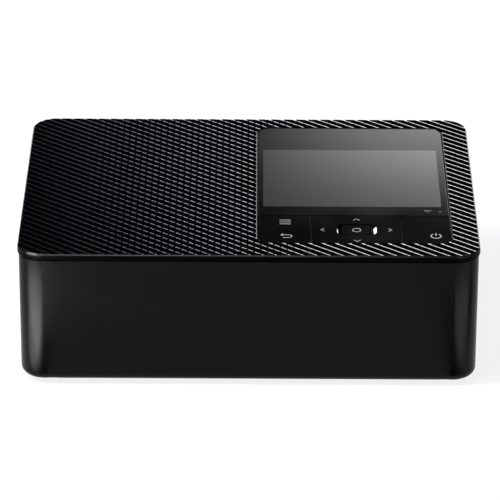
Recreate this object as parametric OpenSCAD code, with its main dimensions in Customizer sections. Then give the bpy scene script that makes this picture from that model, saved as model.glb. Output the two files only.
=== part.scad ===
// Compact photo printer with a front paper bay, a side ink door and a control panel in its top cover.
// X runs to the right, Y to the back and Z up. The origin is on the surface it stands on, under the
// middle of the case.

/* [Case] */
// Width over the top cover
case_w = 182.2; // [180:0.1:196]
// Depth over the top cover
case_d = 133; // [132:0.5:142]
// Height from the table to the top of the cover
case_h = 57.6; // [57.4:0.1:62]
// Corner radius of the top cover, seen from above
corner_r = 10; // [9.5:0.5:11]
// Wall thickness of the mouldings
wall = 2.2; // [2:0.1:2.4]
// Height of the cover's glossy edge
cover_edge = 2.6; // [2.5:0.1:3]
// Dark gap between the cover and the body
seam = 0.6; // [0.5:0.05:0.8]
// Step from the cover's edge in to the body
body_inset = 0.5; // [0.4:0.1:0.7]
// Rounding along the bottom edge of the body
edge_r = 3.5; // [3.3:0.1:3.6]
// Height of the rubber feet below the base
foot_h = 1.6; // [1.4:0.1:2]
// Diameter of a rubber foot
foot_d = 12; // [8:0.5:14]

/* [Control panel] */
// Width of the opening for the panel
panel_w = 77.3; // [76.6:0.1:78.5]
// Length of the opening for the panel
panel_l = 111.9; // [110.5:0.1:112.5]
// Distance from the panel to the cover's right edge
panel_side = 10.7; // [10.5:0.1:11.5]
// Distance from the panel to the cover's front edge
panel_front = 11.9; // [11:0.1:12.5]
// Corner radius of the panel
panel_r = 5.5; // [4:0.5:6.5]
// Length of the row of keys, front to back
key_row_l = 25.6; // [25.2:0.1:26.2]
// Width of the left key
left_key_w = 21.6; // [21.2:0.1:22]
// Width of the power key
power_key_w = 19.8; // [19.2:0.1:20]
// Width of the centre key
ok_w = 12; // [10:0.1:12.4]
// Length of the centre key
ok_l = 8.7; // [7.5:0.1:9]
// Width of the recess round the centre key
well_w = 15.9; // [15.6:0.1:17]
// Length of the recess round the centre key
well_l = 10; // [9.9:0.1:10.6]
// Width of the display module
lcd_w = 73; // [70:0.1:73.4]
// Length of the display module
lcd_l = 61; // [58:0.1:62]
// Thickness of the display module
lcd_t = 3.1; // [2.4:0.1:3.2]
// Thickness of the glass over the display
glass_t = 1.2; // [1:0.1:1.3]
// Travel of the centre key and of the power key
key_travel = 0.6; // [0.4:0.05:0.65]

/* [Doors] */
// Length of the ink door along the case, hinge included
ink_door_l = 61.2; // [60.6:0.1:62]
// Height of the ink door
ink_door_h = 41; // [40:0.5:41.4]
// Diameter of the hinge pins of both doors
pin_d = 1.8; // [1.5:0.1:2]
// Gap round the doors
door_gap = 0.3; // [0.25:0.05:0.4]

/* [Paper path] */
// Width between the side plates
plate_gap = 114.4; // [114:0.1:115]
// Length of the rollers' working faces
roller_l = 104; // [100:0.5:106]
// Thickness of the steel side plates
plate_t = 1.2; // [1:0.1:1.3]
// Diameter of every roller shaft
shaft_d = 4; // [3.6:0.1:4.2]
// Diameter of the capstan and of the pinch roller above it
capstan_d = 8; // [7.6:0.1:8]
// Diameter of the platen roller
platen_d = 12; // [11.6:0.1:12]
// Diameter of the rubber pickup roller
pickup_d = 16; // [14:0.1:16.2]
// Width of the rubber pickup roller
pickup_w = 30; // [24:1:40]
// Height of the paper plane above the table
paper_z = 25; // [24.9:0.05:25.1]
// Width of the paper bay's opening in the front
bay_w = 112; // [108:0.5:112.5]
// Height of the paper bay's ceiling at the front
bay_top = 36; // [34:0.5:38]

/* [Gears] */
// Module of the paper drive's gears
drive_m = 0.8; // [0.79:0.005:0.81]
// Module of the ribbon's and the head's gears
fine_m = 0.6; // [0.59:0.005:0.61]
// Face width of a gear on the inner plane
inner_face = 3; // [2.6:0.1:3.1]
// Face width of a gear on the outer plane
outer_face = 3.4; // [3:0.1:3.5]

/* [Ink] */
// Outer diameter of a spool housing
housing_d = 19.6; // [18.6:0.1:19.8]
// Wall of a spool housing
housing_wall = 1.2; // [1:0.1:1.4]
// Distance between the two spools
spool_gap = 32; // [31.6:0.1:32.2]

/* [Hidden] */
$fn = 72;

// Clearances that mating pieces share
fit = 0.05;           // radial running fit of a pin, shaft or stud in its bore
loose = 0.3;          // air between pieces that only lie beside each other
panel_gap = 0.4;      // dark line round the panel
eps = 0.01;

// Body: outer faces, inner faces and heights
body_x = case_w / 2 - body_inset;
body_y = case_d / 2 - body_inset;
body_r = corner_r - body_inset;
in_x = body_x - wall;
in_y = body_y - wall;
corner_x = body_x - body_r;
corner_y = body_y - body_r;
cover_z = case_h - cover_edge;
deck_z = case_h - wall;
body_top = cover_z - seam;
base_z = foot_h;
lip_w = edge_r + 1.6;
lip_z = base_z + wall;
flange_t = 1.6;
floor_z = lip_z + flange_t;

// Front door: the pivot is the centre of the rounded bottom edge
door_pivot = [-body_y + edge_r, base_z + edge_r];
split_gap = 0.4;
shell_front = -corner_y + split_gap;
swing_r = -corner_y - door_pivot[0];
ear_r = 2;
ear_w = 3;
ear_x = corner_x - 4.8;
door_pin_l = 9.5;
pin_r = pin_d / 2;

// Posts that the case screws run in
post_r = 3;
post_head_r = 1.9;
post_bore_r = 1.4;
post_top = 42;
post_seat = 34;
screw_r = 1.1;
boss_r = 2.4;

// Panel outline and the layers under it
panel_x1 = case_w / 2 - panel_side;
panel_x0 = panel_x1 - panel_w;
panel_y0 = -case_d / 2 + panel_front;
panel_y1 = panel_y0 + panel_l;
key_y1 = panel_y0 + key_row_l;
key_mid_y = (panel_y0 + panel_gap + key_y1) / 2;
post_x = panel_x1 + boss_r + 0.1;
posts = [
  [post_x, -corner_y + 8.5], [-post_x, -corner_y + 8.5],
  [corner_x + 0.2, corner_y + 0.9], [-corner_x - 0.2, corner_y + 0.9]
];
key_gap = 0.3;
key_top = case_h - 0.3;
key_t = 1.5;
key_z = key_top - key_t;
left_x1 = panel_x0 + left_key_w;
right_x0 = panel_x1 - power_key_w;
pad_mid_x = (left_x1 + right_x0) / 2;
glass_z1 = case_h - 0.2;
glass_z0 = glass_z1 - glass_t;
lcd_x = (panel_x0 + panel_x1) / 2 - 0.37;
lcd_y = (key_y1 + panel_y1) / 2 - 6.85;
lcd_top = glass_z0 - 0.2;
tray_t = 1.2;
tray_z = deck_z - 1.5;
tray_lap = 2;
ledge_z = tray_z + tray_t;
board_t = 1.6;
key_board_z = tray_z - 3.1;
key_board_top = key_board_z + board_t;
dome_h = 1;
dome_r = 2.2;
rocker_z = tray_z - 0.5;
rocker_r = 0.5;
pad_reach_x = 13.4;
pad_reach_y = 9.4;
left_reach = 6.7;
plunger_r = 1.2;
well_step = 0.7;
well_ledge = 0.9;

// Ink door: vertical pivot near the rear right corner
ink_barrel_r = 2.4;
ink_pivot = [body_x - ink_barrel_r, corner_y + 0.3];
ink_y0 = ink_pivot[1] + ink_barrel_r - ink_door_l;
ink_z0 = base_z + 7.4;
ink_z1 = ink_z0 + ink_door_h;
ink_ear_h = 2.2;
ink_pin_in = 5;

// Sockets in the right wall
card_y = -16.6;
card_slot_w = 25;
usb_y = -37;
usb_w = 8.94;
usb_h = 3.16;
card_board_z = 15;
card_board_t = 1.2;
card_board_top = card_board_z + card_board_t;
socket_w = 28;
socket_h = 4;

// DC jack in the rear wall
dc_x = -70;
dc_r = 3.2;
power_board_z = floor_z + 3;
dc_z = power_board_z + board_t + 5.5;

// Paper path: its middle, the side plates and every axis as [y, z]
path_x = 8;
left_in = path_x - plate_gap / 2;
right_in = left_in + plate_gap;
left_out = left_in - plate_t;
right_out = right_in + plate_t;
roll_x0 = path_x - roller_l / 2;
roll_x1 = roll_x0 + roller_l;
shaft_r = shaft_d / 2;
shaft_end = right_out + 1.1;
plate_top = 49.6;
plate_y1 = 57;
bulkhead_y = shell_front;
bulkhead_t = 2;
bay_x0 = path_x - bay_w / 2;
bay_x1 = bay_x0 + bay_w;
capstan = [-8, paper_z - capstan_d / 2];
pinch = [capstan[0], paper_z + 0.2 + capstan_d / 2];

// Gear wheels: teeth counts, planes and axes worked out from the pitch radii
big_teeth = 36;
pinion_teeth = 12;
small_teeth = 20;
pickup_teeth = 25;
platen_teeth = 30;
ribbon_teeth = 40;
cam_teeth = 32;
inner_x1 = left_out - 1;
inner_x0 = inner_x1 - inner_face;
outer_x1 = inner_x0 - 0.6;
outer_x0 = outer_x1 - outer_face;
bracket_in = outer_x0 - 0.9;
bracket_t = 1.2;
bracket_out = bracket_in - bracket_t;
stud_r = 1.5;
pickup = [capstan[0] - sqrt(pow(reach(drive_m, small_teeth, pickup_teeth), 2)
  - pow(paper_z + 7.314 - capstan[1], 2)), paper_z + 7.314];
platen_reach = drive_m * (small_teeth * 2 + small_teeth + platen_teeth) / 2;
platen_z = paper_z - platen_d / 2;
platen = [capstan[0] + sqrt(pow(platen_reach, 2) - pow(capstan[1] - platen_z, 2)), platen_z];
platen_dir = atan2(platen[1] - capstan[1], platen[0] - capstan[0]);
idler = capstan + reach(drive_m, small_teeth, small_teeth) * [cos(platen_dir), sin(platen_dir)];
motor = [capstan[0] - reach(drive_m, big_teeth, pinion_teeth), capstan[1]];
takeup = [44, 36.7];
supply = [takeup[0] - spool_gap, takeup[1]];
ribbon_dir = 157.38;
ribbon_motor = takeup
  + reach(fine_m, ribbon_teeth, pinion_teeth) * [cos(ribbon_dir), sin(ribbon_dir)];
cam = [17, 40];
head_dir = 169.96;
head_motor = cam + reach(fine_m, cam_teeth, pinion_teeth) * [cos(head_dir), sin(head_dir)];
head_pivot = [-5, 44];
cam_r = 5.15;
cam_lift = 1.15;
cam_sweep = 150;
bush_r = 3.2;
bush_hole_r = bush_r + 0.03;
bush_flange_r = 3.9;
bush_flange_t = 0.8;

// Ink cassette between the side plates, with its grip at the right
housing_r = housing_d / 2;
cassette_x0 = left_in + 3.8;
cassette_x1 = right_in - 2.6;
cheek_t = 2;
cheek_drop = 2.4;
grip_x1 = right_out + 9.6;
journal_r = 3.4;
core_r = 4;
film_x0 = roll_x0 + 2;
film_x1 = roll_x1 - 1;

// Print head, drawn raised above the platen
head_y = platen[0] + 0.06;
head_w = 8;
head_plate_t = 1.2;
head_plate_z = 47.9;
head_z = 27.5;
ridge_w = 2.2;
ridge_h = 0.7;
ceramic_t = 2.8;
sink_z = head_z + ridge_h + ceramic_t;

// Feet, and the screws that hold the boards and the plates
foot_sink = 0.8;
foot_x = case_w / 2 - 21;
foot_y = case_d / 2 - 18.5;
feet = [[foot_x, -foot_y], [-foot_x, -foot_y], [foot_x, foot_y], [-foot_x, foot_y]];
small_screw_r = 0.9;
// Boards of the sockets: the card board on the right, the power board in the rear left corner
card_board_y = [usb_y - 6.3, card_y + 14.2];
card_tab_y = [card_board_y[1] - 1.6, card_board_y[1] + 6.4];
card_posts = [[right_out + 4, usb_y - 3.5], [right_out + 12, usb_y + 2.6],
  [right_out + 4.4, card_tab_y[1] - 3.4]];
power_x = [-in_x + 2.4, bracket_out - 2];
power_y = [in_y - 39.8, in_y - 10];
power_posts = [[power_x[1] - 3.5, power_y[0] + 4], [power_x[0] + 3, power_y[0] + 4],
  [power_x[0] + 3, power_y[1] - 3.3]];
jack_tab = 5.2;

// Screw tabs of the side plates
tab_l = 12;
left_tabs = [-39, 36];
right_tabs = [-28, 43];
plate_screws = concat([for (y = left_tabs) [left_out - 4.2, y + tab_l / 2]],
  [for (y = right_tabs) [right_out + 4.2, y + tab_l / 2]]);

// Paper slot and air vents in the shell
slot_w = roller_l + 0.4;
slot_z0 = paper_z - 2.4;
slot_z1 = paper_z + 2.8;
vent_n = 12;
vent_w = 1.6;
vent_h = 14;
vent_pitch = 3.6;
vent_y = -6;
vent_z = 22;
rear_vent_n = 5;
rear_vent_x = -57;

// Openings, board and switches under the keys
cradle_t = 1.6;
left_hole = [panel_x0 + 2.85, left_x1 - 2.4];
pad_hole = [left_x1 + 2.2, right_x0 - 2.2];
power_hole = [right_x0 + 1.8, panel_x1 - 2.4];
hole_y = [panel_y0 + 1.6, key_y1 - 1.4];
key_board_x = [panel_x0 + 1.8, panel_x1 - 1.8];
key_board_y = [panel_y0 + 1.1, key_y1 + 6];
key_board_posts = [[panel_x0 + 5, key_y1 + 2.9], [panel_x1 - 5, key_y1 + 2.9],
  [left_x1, panel_y0 + 3.4], [right_x0 - 0.2, panel_y0 + 3.4]];
left_mid_x = (left_hole[0] + left_hole[1]) / 2;
power_mid_x = (power_hole[0] + power_hole[1]) / 2;
domes = [
  [left_mid_x, key_mid_y - left_reach], [left_mid_x, key_mid_y + left_reach],
  [pad_mid_x - pad_reach_x, key_mid_y], [pad_mid_x + pad_reach_x, key_mid_y],
  [pad_mid_x, key_mid_y - pad_reach_y], [pad_mid_x, key_mid_y + pad_reach_y],
  [pad_mid_x, key_mid_y], [power_mid_x, key_mid_y]
];

// Main board; its parts are a processor, memory, a shielded radio, a driver and a connector
board_drop = 7.4;
board_left_gap = 10.4;
board_panel_gap = 7.1;
board_front_gap = 2.1;
board_y1 = 20;
post_inset = 4;
front_post_gap = 37;
flex_x1 = 16;
main_board_z = case_h - board_drop;
main_board_top = main_board_z + board_t;
main_board_x = [-in_x + board_left_gap, panel_x0 - board_panel_gap];
main_board_y = [bulkhead_y + bulkhead_t + board_front_gap, board_y1];
board_post_x = [main_board_x[0] + post_inset, main_board_x[1] - post_inset];
board_post_y = [main_board_y[0] + post_inset, main_board_y[1] - post_inset];
board_posts = [
  [board_post_x[0], board_post_y[0]], [board_post_x[0], board_post_y[1]],
  [board_post_x[1], board_post_y[0]], [board_post_x[1], main_board_y[0] + front_post_gap]
];
flex_x = [board_post_x[1], flex_x1];
flex_y = [2, 12];
// Each part has its stretch along X, along Y and its height, from the board's front left corner
board_parts = [
  [[28, 42], [26, 40], 1.4], [[46, 56], [28, 40], 1.1], [[8, 24], [8, 20], 2.4],
  [[12, 22], [44, 56], 1.6], [[64, 69.9], [53, 65], 1.4]
];
board_cans = [for (x = [32:6:56]) [x, 62]];

// Side plates: spacers, the window for the ribbon, the lever and the bushes
spacers = [[-40, 10], [-38, 45], [52, 11]];
window_y = [supply[0] - housing_r - 1.4, takeup[0] + housing_r + 1.4];
window_z = [takeup[1] - housing_r - 0.9, takeup[1] + housing_r + 1.1];
lever_pivot = [right_out + 3.1, window_y[0] + 3.2];
lever_z = [32.3, 39.7];
left_bushes = [capstan, pinch, pickup, platen, takeup, head_pivot];
right_bushes = [capstan, pinch, pickup, platen, head_pivot];

// Turns that mesh the gears, and the motors
pickup_dir = atan2(pickup[1] - capstan[1], pickup[0] - capstan[0]);
idler_turn = mesh_turn(platen_dir, 0, small_teeth, small_teeth);
motor_l = 18;
motor_r = 13;
motor_boss_r = 3.9;
motor_shaft_r = 1.25;
small_motor_r = 6;
small_boss_r = 1.9;
small_shaft_r = 1;
motor_bore = 3.5;
bracket_y = [-43, 56];
bracket_foot_y = [-12, 16];
dog_l = 5;

// ---------- drawing helpers ----------

function reach(m, a, b) = m * (a + b) / 2;

// The stretch from c - half to c + half
function about(c, half) = [c - half, c + half];

module box(x, y, z) {
  translate([x[0], y[0], z[0]]) cube([x[1] - x[0], y[1] - y[0], z[1] - z[0]]);
}

// A flat outline drawn in Y and Z, made solid from x[0] to x[1]
module across(x) {
  translate([x[0], 0, 0]) rotate([90, 0, 90]) linear_extrude(x[1] - x[0]) children();
}

// A round bar along X, at the axis a = [y, z]
module bar(a, x, r) {
  translate([x[0], a[0], a[1]]) rotate([0, 90, 0]) cylinder(h = x[1] - x[0], r = r);
}

// A round post along Z
module post(x, y, z, r) {
  translate([x, y, z[0]]) cylinder(h = z[1] - z[0], r = r);
}

module round_rect(x, y, r) {
  translate([x[0] + r, y[0]]) square([x[1] - x[0] - 2 * r, y[1] - y[0]]);
  translate([x[0], y[0] + r]) square([x[1] - x[0], y[1] - y[0] - 2 * r]);
  for (cx = [x[0] + r, x[1] - r], cy = [y[0] + r, y[1] - r]) translate([cx, cy]) circle(r);
}

// The case outline drawn in by u from the top cover's edge
module case_outline(u) {
  round_rect([-case_w / 2 + u, case_w / 2 - u], [-case_d / 2 + u, case_d / 2 - u], corner_r - u);
}

module panel_outline(u) {
  round_rect([panel_x0 + u, panel_x1 - u], [panel_y0 + u, panel_y1 - u], panel_r - u);
}

// Body wall in section: x is the depth in from the outer face, y the height
module wall_section(lip) {
  translate([0, base_z + edge_r]) square([wall, body_top - base_z - edge_r]);
  translate([edge_r, base_z + edge_r]) intersection() {
    difference() {
      circle(edge_r);
      circle(edge_r - wall);
    }
    translate([-edge_r, -edge_r]) square(edge_r);
  }
  if (lip > edge_r) translate([edge_r - eps, base_z]) square([lip - edge_r + eps, wall]);
}

module wall_run(lip, y) {
  translate([body_x, y[1], 0]) rotate([90, 0, 0]) linear_extrude(y[1] - y[0])
    mirror([1, 0]) wall_section(lip);
}

module wall_corner(lip) {
  rotate_extrude(angle = 90) translate([body_r, 0]) mirror([1, 0]) wall_section(lip);
}

// Involute tooth, in polar form: the half angle of a tooth at radius r, less the backlash
function involute(t) = tan(t) - t * PI / 180;
function half_tooth(r, pitch, n) =
  90 / n + (involute(20) - involute(acos(min(1, pitch * cos(20) / r)))) * 180 / PI
  - 0.06 / pitch * 180 / PI;
function tooth_points(m, n) = [
  for (i = [0:n - 1], k = [0:5])
    let (
      pitch = m * n / 2,
      radii = [pitch - 0.95 * m, pitch, pitch + 0.75 * m],
      r = radii[k < 3 ? k : 5 - k],
      a = i * 360 / n + (k < 3 ? -1 : 1) * half_tooth(r, pitch, n)
    ) r * [cos(a), sin(a)]
];

// Turn of gear b that puts its gap on the tooth of gear a, which lies the other way along dir
function mesh_turn(dir, turn_a, a, b) = dir + 180 - (0.5 - (dir - turn_a) * a / 360) * 360 / b;

module gear(at, m, n, turn, x, bore) {
  translate([0, at[0], at[1]]) across(x) difference() {
    rotate(turn) polygon(tooth_points(m, n));
    circle(bore);
  }
}

// ---------- case ----------

module cover_boss(x, y, z, r, bore) {
  difference() {
    post(x, y, [z, deck_z + eps], r);
    post(x, y, [z - 1, z + 9.5], bore);
  }
}

module top_cover() color("#26272a") {
  rib_t = 1.6;
  rib_z = deck_z - 2.6;
  rim_w = wall + body_inset + loose;
  difference() {
    translate([0, 0, cover_z]) linear_extrude(cover_edge) case_outline(0);
    translate([0, 0, cover_z - 1]) linear_extrude(deck_z - cover_z + 1) case_outline(rim_w);
    translate([0, 0, cover_z - 1]) linear_extrude(cover_edge + 2) panel_outline(0);
  }
  // Rib that centres the cover in the shell, open over the front door
  translate([0, 0, rib_z]) linear_extrude(deck_z - rib_z + eps) difference() {
    case_outline(rim_w);
    case_outline(rim_w + rib_t);
    translate([-case_w / 2, -case_d / 2])
      square([case_w, case_d / 2 + bulkhead_y + bulkhead_t + loose]);
  }
  for (p = posts) cover_boss(p[0], p[1], post_top, boss_r, screw_r + 0.1);
  for (p = board_posts) cover_boss(p[0], p[1], main_board_top, 2.4, small_screw_r + 0.05);
}

module side_shell() color("#1d1e20") {
  ear = [ink_pivot[0] - 2, in_x + eps];
  difference() {
    union() {
      wall_run(lip_w, [shell_front, corner_y]);
      mirror([1, 0, 0]) wall_run(lip_w, [shell_front, corner_y]);
      translate([-corner_x, body_y, 0]) rotate([90, 0, 90]) linear_extrude(2 * corner_x)
        mirror([1, 0]) wall_section(lip_w);
      translate([corner_x, corner_y, 0]) wall_corner(lip_w);
      mirror([1, 0, 0]) translate([corner_x, corner_y, 0]) wall_corner(lip_w);
      // Ears of the ink door's hinge, above and below its opening
      for (z = [ink_z0 - door_gap - ink_ear_h - 0.3, ink_z1 + door_gap])
        box(ear, about(ink_pivot[1], 2), [z, z + ink_ear_h]);
    }
    // Opening of the ink door
    box([ink_pivot[0] - 3, body_x + 1], [ink_y0 - door_gap, ink_pivot[1] + ink_barrel_r + door_gap],
      [ink_z0 - door_gap, ink_z1 + door_gap]);
    post(ink_pivot[0], ink_pivot[1], [ink_z0 - 4, ink_z1 + 3], pin_r + fit);
    // Finger scoop in front of the ink door
    translate([body_x + 7.4, ink_y0 - 1.5, (ink_z0 + ink_z1) / 2]) sphere(8.6);
    // Card slot and USB opening
    box([in_x - 1, body_x + 1], about(card_y, card_slot_w / 2),
      [card_board_top + 0.8, card_board_top + 3.6]);
    box([in_x - 1, body_x + 1], about(usb_y, usb_w / 2 + 0.35),
      [card_board_top - 0.35, card_board_top + usb_h + 0.35]);
    // Paper slot and DC opening at the rear
    box(about(path_x, slot_w / 2), [in_y - 1, body_y + 1], [slot_z0, slot_z1]);
    translate([dc_x, body_y + 1, dc_z]) rotate([90, 0, 0]) cylinder(h = wall + 2, r = dc_r + 0.8);
    // Air vents: left wall and rear wall
    for (i = [0:vent_n - 1])
      box([-body_x - 1, -in_x + 1], about(vent_y + i * vent_pitch, vent_w / 2),
        [vent_z, vent_z + vent_h]);
    for (i = [0:rear_vent_n - 1])
      box(about(rear_vent_x - i * vent_pitch, vent_w / 2), [in_y - 1, body_y + 1],
        [vent_z + 8, vent_z + 8 + vent_h]);
  }
}

module base_plate() color("#18191a") {
  slab_u = body_inset + edge_r + 0.2;
  tongue = [door_pivot[0] + edge_r + door_gap, shell_front + 4];
  difference() {
    union() {
      // Slab on the shell's lip and plate inside the lip
      intersection() {
        translate([0, 0, lip_z]) linear_extrude(flange_t) case_outline(slab_u);
        box([-case_w, case_w], [bulkhead_y, case_d], [0, floor_z]);
      }
      intersection() {
        translate([0, 0, base_z]) linear_extrude(wall) case_outline(body_inset + lip_w + 0.2);
        box([-case_w, case_w], [bulkhead_y, case_d], [0, floor_z]);
      }
      box([-ear_x - ear_w, ear_x + ear_w], tongue, [base_z, lip_z]);
      for (s = [-1, 1]) hinge_ear(s);
      for (p = posts) post(p[0], p[1], [floor_z - 0.6, post_top], post_r);
      for (p = card_posts) post(p[0], p[1], [floor_z - 0.6, card_board_z], 2.4);
      for (p = power_posts) post(p[0], p[1], [floor_z - 0.6, power_board_z], 2.4);
    }
    for (p = posts) {
      post(p[0], p[1], [0, post_seat], post_head_r);
      post(p[0], p[1], [0, post_top + 1], post_bore_r);
    }
    for (p = feet) post(p[0], p[1], [0, base_z + foot_sink], foot_d / 2 + 0.1);
    for (p = concat(card_posts, power_posts))
      post(p[0], p[1], [lip_z + 1, floor_z + 40], small_screw_r + 0.05);
    for (p = plate_screws) post(p[0], p[1], [lip_z - 0.6, floor_z + 1], small_screw_r + 0.05);
    for (s = [-1, 1]) mirror([s < 0 ? 1 : 0, 0, 0])
      bar(door_pivot, [ear_x - 4, ear_x + ear_w + 4], pin_r + fit);
  }
}

module hinge_ear(s) {
  x = s > 0 ? [ear_x, ear_x + ear_w] : [-ear_x - ear_w, -ear_x];
  across(x) {
    translate(door_pivot) circle(ear_r);
    translate(door_pivot - [0, ear_r]) square([shell_front - door_pivot[0] + 1, ear_r]);
  }
}

module front_door() color("#1b1c1e") {
  notch = 2.25;
  difference() {
    union() {
      box([-corner_x, corner_x], [-body_y, -in_y], [door_pivot[1], body_top]);
      bar(door_pivot, [-corner_x, corner_x], edge_r);
      translate([corner_x, -corner_y, 0]) rotate([0, 0, -90]) wall_corner(edge_r);
      mirror([1, 0, 0]) translate([corner_x, -corner_y, 0]) rotate([0, 0, -90])
        wall_corner(edge_r);
      // Pull rail along the inside of the top edge
      box([-corner_x, corner_x], [-in_y - eps, -in_y + 1.2], [body_top - 1.6, body_top]);
    }
    // Room for the rounded ends to swing past the base
    across([-case_w / 2, case_w / 2]) difference() {
      translate(door_pivot - [0, 2 * edge_r]) square([swing_r + 1, 2 * edge_r]);
      circle_at(door_pivot, swing_r);
    }
    for (s = [-1, 1]) mirror([s < 0 ? 1 : 0, 0, 0]) {
      across([ear_x - split_gap, ear_x + ear_w + split_gap]) {
        circle_at(door_pivot, notch);
        translate(door_pivot - [notch, 2 * edge_r])
          square([notch + 2 * edge_r, 2 * edge_r + door_gap]);
      }
      bar(door_pivot, about(ear_x + ear_w / 2, door_pin_l / 2 + 0.2), pin_r + fit);
    }
  }
}

module circle_at(p, r) {
  translate(p) circle(r);
}

module front_door_pins() color("silver")
  for (s = [-1, 1]) mirror([s < 0 ? 1 : 0, 0, 0])
    bar(door_pivot, about(ear_x + ear_w / 2, door_pin_l / 2), pin_r);

module ink_door() color("#1c1d1f") {
  difference() {
    union() {
      box([in_x, body_x], [ink_y0, ink_pivot[1]], [ink_z0, ink_z1]);
      post(ink_pivot[0], ink_pivot[1], [ink_z0, ink_z1], ink_barrel_r);
      // Stiffening ribs on the inside
      for (z = [ink_z0 + 4, ink_z1 - 5.2])
        box([in_x - 1.2, in_x + eps], [ink_y0 + 4, ink_pivot[1] - 5], [z, z + 1.2]);
    }
    for (z = [ink_z0 - 1, ink_z1 - ink_pin_in])
      post(ink_pivot[0], ink_pivot[1], [z, z + ink_pin_in + 1], pin_r + fit);
    translate([body_x + 7.4, ink_y0 - 1.5, (ink_z0 + ink_z1) / 2]) sphere(8.6);
  }
}

module ink_door_pins() color("silver") {
  low = ink_z0 - door_gap - ink_ear_h;
  post(ink_pivot[0], ink_pivot[1], [low, ink_z0 + ink_pin_in - 1.2], pin_r);
  post(ink_pivot[0], ink_pivot[1], [ink_z1 - ink_pin_in + 0.2, ink_z1 + door_gap + ink_ear_h - 0.2],
    pin_r);
}

module rubber_feet() color("#141414")
  for (p = feet) post(p[0], p[1], [0, base_z + foot_sink], foot_d / 2);

module front_inner_panel() color("#202124") {
  x = in_x - loose;
  difference() {
    box([-x, x], [bulkhead_y, bulkhead_y + bulkhead_t], [floor_z, tray_z - 0.5]);
    box([bay_x0, bay_x1], about(bulkhead_y, bulkhead_t + 1), [floor_z - 1, bay_top]);
  }
}

// ---------- control panel ----------

module panel_frame() color("#151516") {
  lcd_gap = 0.15;
  difference() {
    union() {
      box([panel_x0 - tray_lap, panel_x1 + tray_lap], [panel_y0 + 0.2, panel_y1 + tray_lap],
        [tray_z, ledge_z]);
      // Flange against the underside of the cover
      difference() {
        box([panel_x0 - tray_lap, panel_x1 + tray_lap], [panel_y0 + 0.2, panel_y1 + tray_lap],
          [ledge_z - eps, deck_z]);
        translate([0, 0, tray_z]) linear_extrude(tray_lap * 2) panel_outline(0);
      }
      // Bed of the glass
      intersection() {
        translate([0, 0, ledge_z - eps]) linear_extrude(glass_z0 - ledge_z + eps)
          panel_outline(panel_gap);
        box([-case_w, case_w], [key_y1 + key_gap / 2, case_d], [0, case_h]);
      }
      // Cradles of the left key and posts of the key board
      for (x = [left_hole[0] - cradle_t, left_hole[1]])
        box([x, x + cradle_t], about(key_mid_y, 1.5), [rocker_z - 0.9, tray_z + eps]);
      for (p = key_board_posts) post(p[0], p[1], [key_board_top, tray_z + eps], 1.8);
    }
    box(about(lcd_x, lcd_w / 2 + lcd_gap), about(lcd_y, lcd_l / 2 + lcd_gap), [0, case_h]);
    for (x = [left_hole, pad_hole, power_hole]) box(x, hole_y, [0, case_h]);
    bar([key_mid_y, rocker_z], [left_hole[0] - cradle_t - 1, left_hole[1] + cradle_t + 1],
      rocker_r + fit);
    for (p = key_board_posts) post(p[0], p[1], [0, tray_z + 0.4], small_screw_r + 0.05);
    for (p = posts) post(p[0], p[1], [0, case_h], boss_r + loose);
  }
}

module lcd_glass() color("#0c0d0f")
  translate([0, 0, glass_z0]) linear_extrude(glass_t) intersection() {
    panel_outline(panel_gap);
    translate([-case_w, key_y1 + key_gap / 2]) square([2 * case_w, case_d]);
  }

module lcd_module() color("#5c6066")
  box(about(lcd_x, lcd_w / 2), about(lcd_y, lcd_l / 2), [lcd_top - lcd_t, lcd_top]);

module key_board() color("#1f4a2c") {
  difference() {
    box(key_board_x, key_board_y, [key_board_z, key_board_top]);
    for (p = key_board_posts) post(p[0], p[1], [0, case_h], small_screw_r + 0.15);
    // Cut-out behind the display module
    box(about(lcd_x, lcd_w / 2 - 6), [lcd_y - lcd_l / 2 - 0.5, case_d],
      [key_board_z - 1, case_h]);
  }
}

module dome_switches() color("silver")
  for (p = domes) post(p[0], p[1], [key_board_top, key_board_top + dome_h], dome_r);

// Outline of one key: the part of the key row between two lines along Y
module key_plate(x) {
  translate([0, 0, key_z]) linear_extrude(key_t) intersection() {
    panel_outline(panel_gap);
    translate([x[0], panel_y0 - 1]) square([x[1] - x[0], key_row_l + 1 - key_gap / 2]);
  }
}

module left_key() color("#101113") {
  key_plate([panel_x0 - 1, left_x1 - key_gap / 2]);
  web_x = left_hole + [0.4, -0.4];
  box(web_x, about(key_mid_y, 0.6), [rocker_z, key_z + eps]);
  bar([key_mid_y, rocker_z], [left_hole[0] - cradle_t + 0.2, left_hole[1] + cradle_t - 0.2],
    rocker_r);
  for (s = [-1, 1])
    post(left_mid_x, key_mid_y + s * left_reach, [key_board_top + dome_h + 0.3, key_z + eps],
      plunger_r);
}

module direction_pad() color("#101113") {
  difference() {
    key_plate([left_x1 + key_gap / 2, right_x0 - key_gap / 2]);
    translate([0, 0, key_z - 1]) linear_extrude(key_t + 2)
      round_rect(about(pad_mid_x, well_w / 2 - well_step), about(key_mid_y, well_l / 2 - 0.15), 2.5);
    translate([0, 0, key_top - well_ledge]) linear_extrude(key_t)
      round_rect(about(pad_mid_x, well_w / 2), about(key_mid_y, well_l / 2), 3);
  }
  for (s = [-1, 1]) {
    post(pad_mid_x + s * pad_reach_x, key_mid_y, [key_board_top + dome_h + 0.8, key_z + eps],
      plunger_r);
    post(pad_mid_x, key_mid_y + s * pad_reach_y, [key_board_top + dome_h + 0.8, key_z + eps],
      plunger_r);
  }
}

module pad_collar() color("#3a3a3c")
  translate([0, 0, key_board_top + 0.5]) linear_extrude(key_z - key_board_top - 1.0) difference() {
    round_rect(about(pad_mid_x, 10.4), about(key_mid_y, 6.6), 2);
    round_rect(about(pad_mid_x, 7), about(key_mid_y, 5.2), 2);
  }

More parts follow.
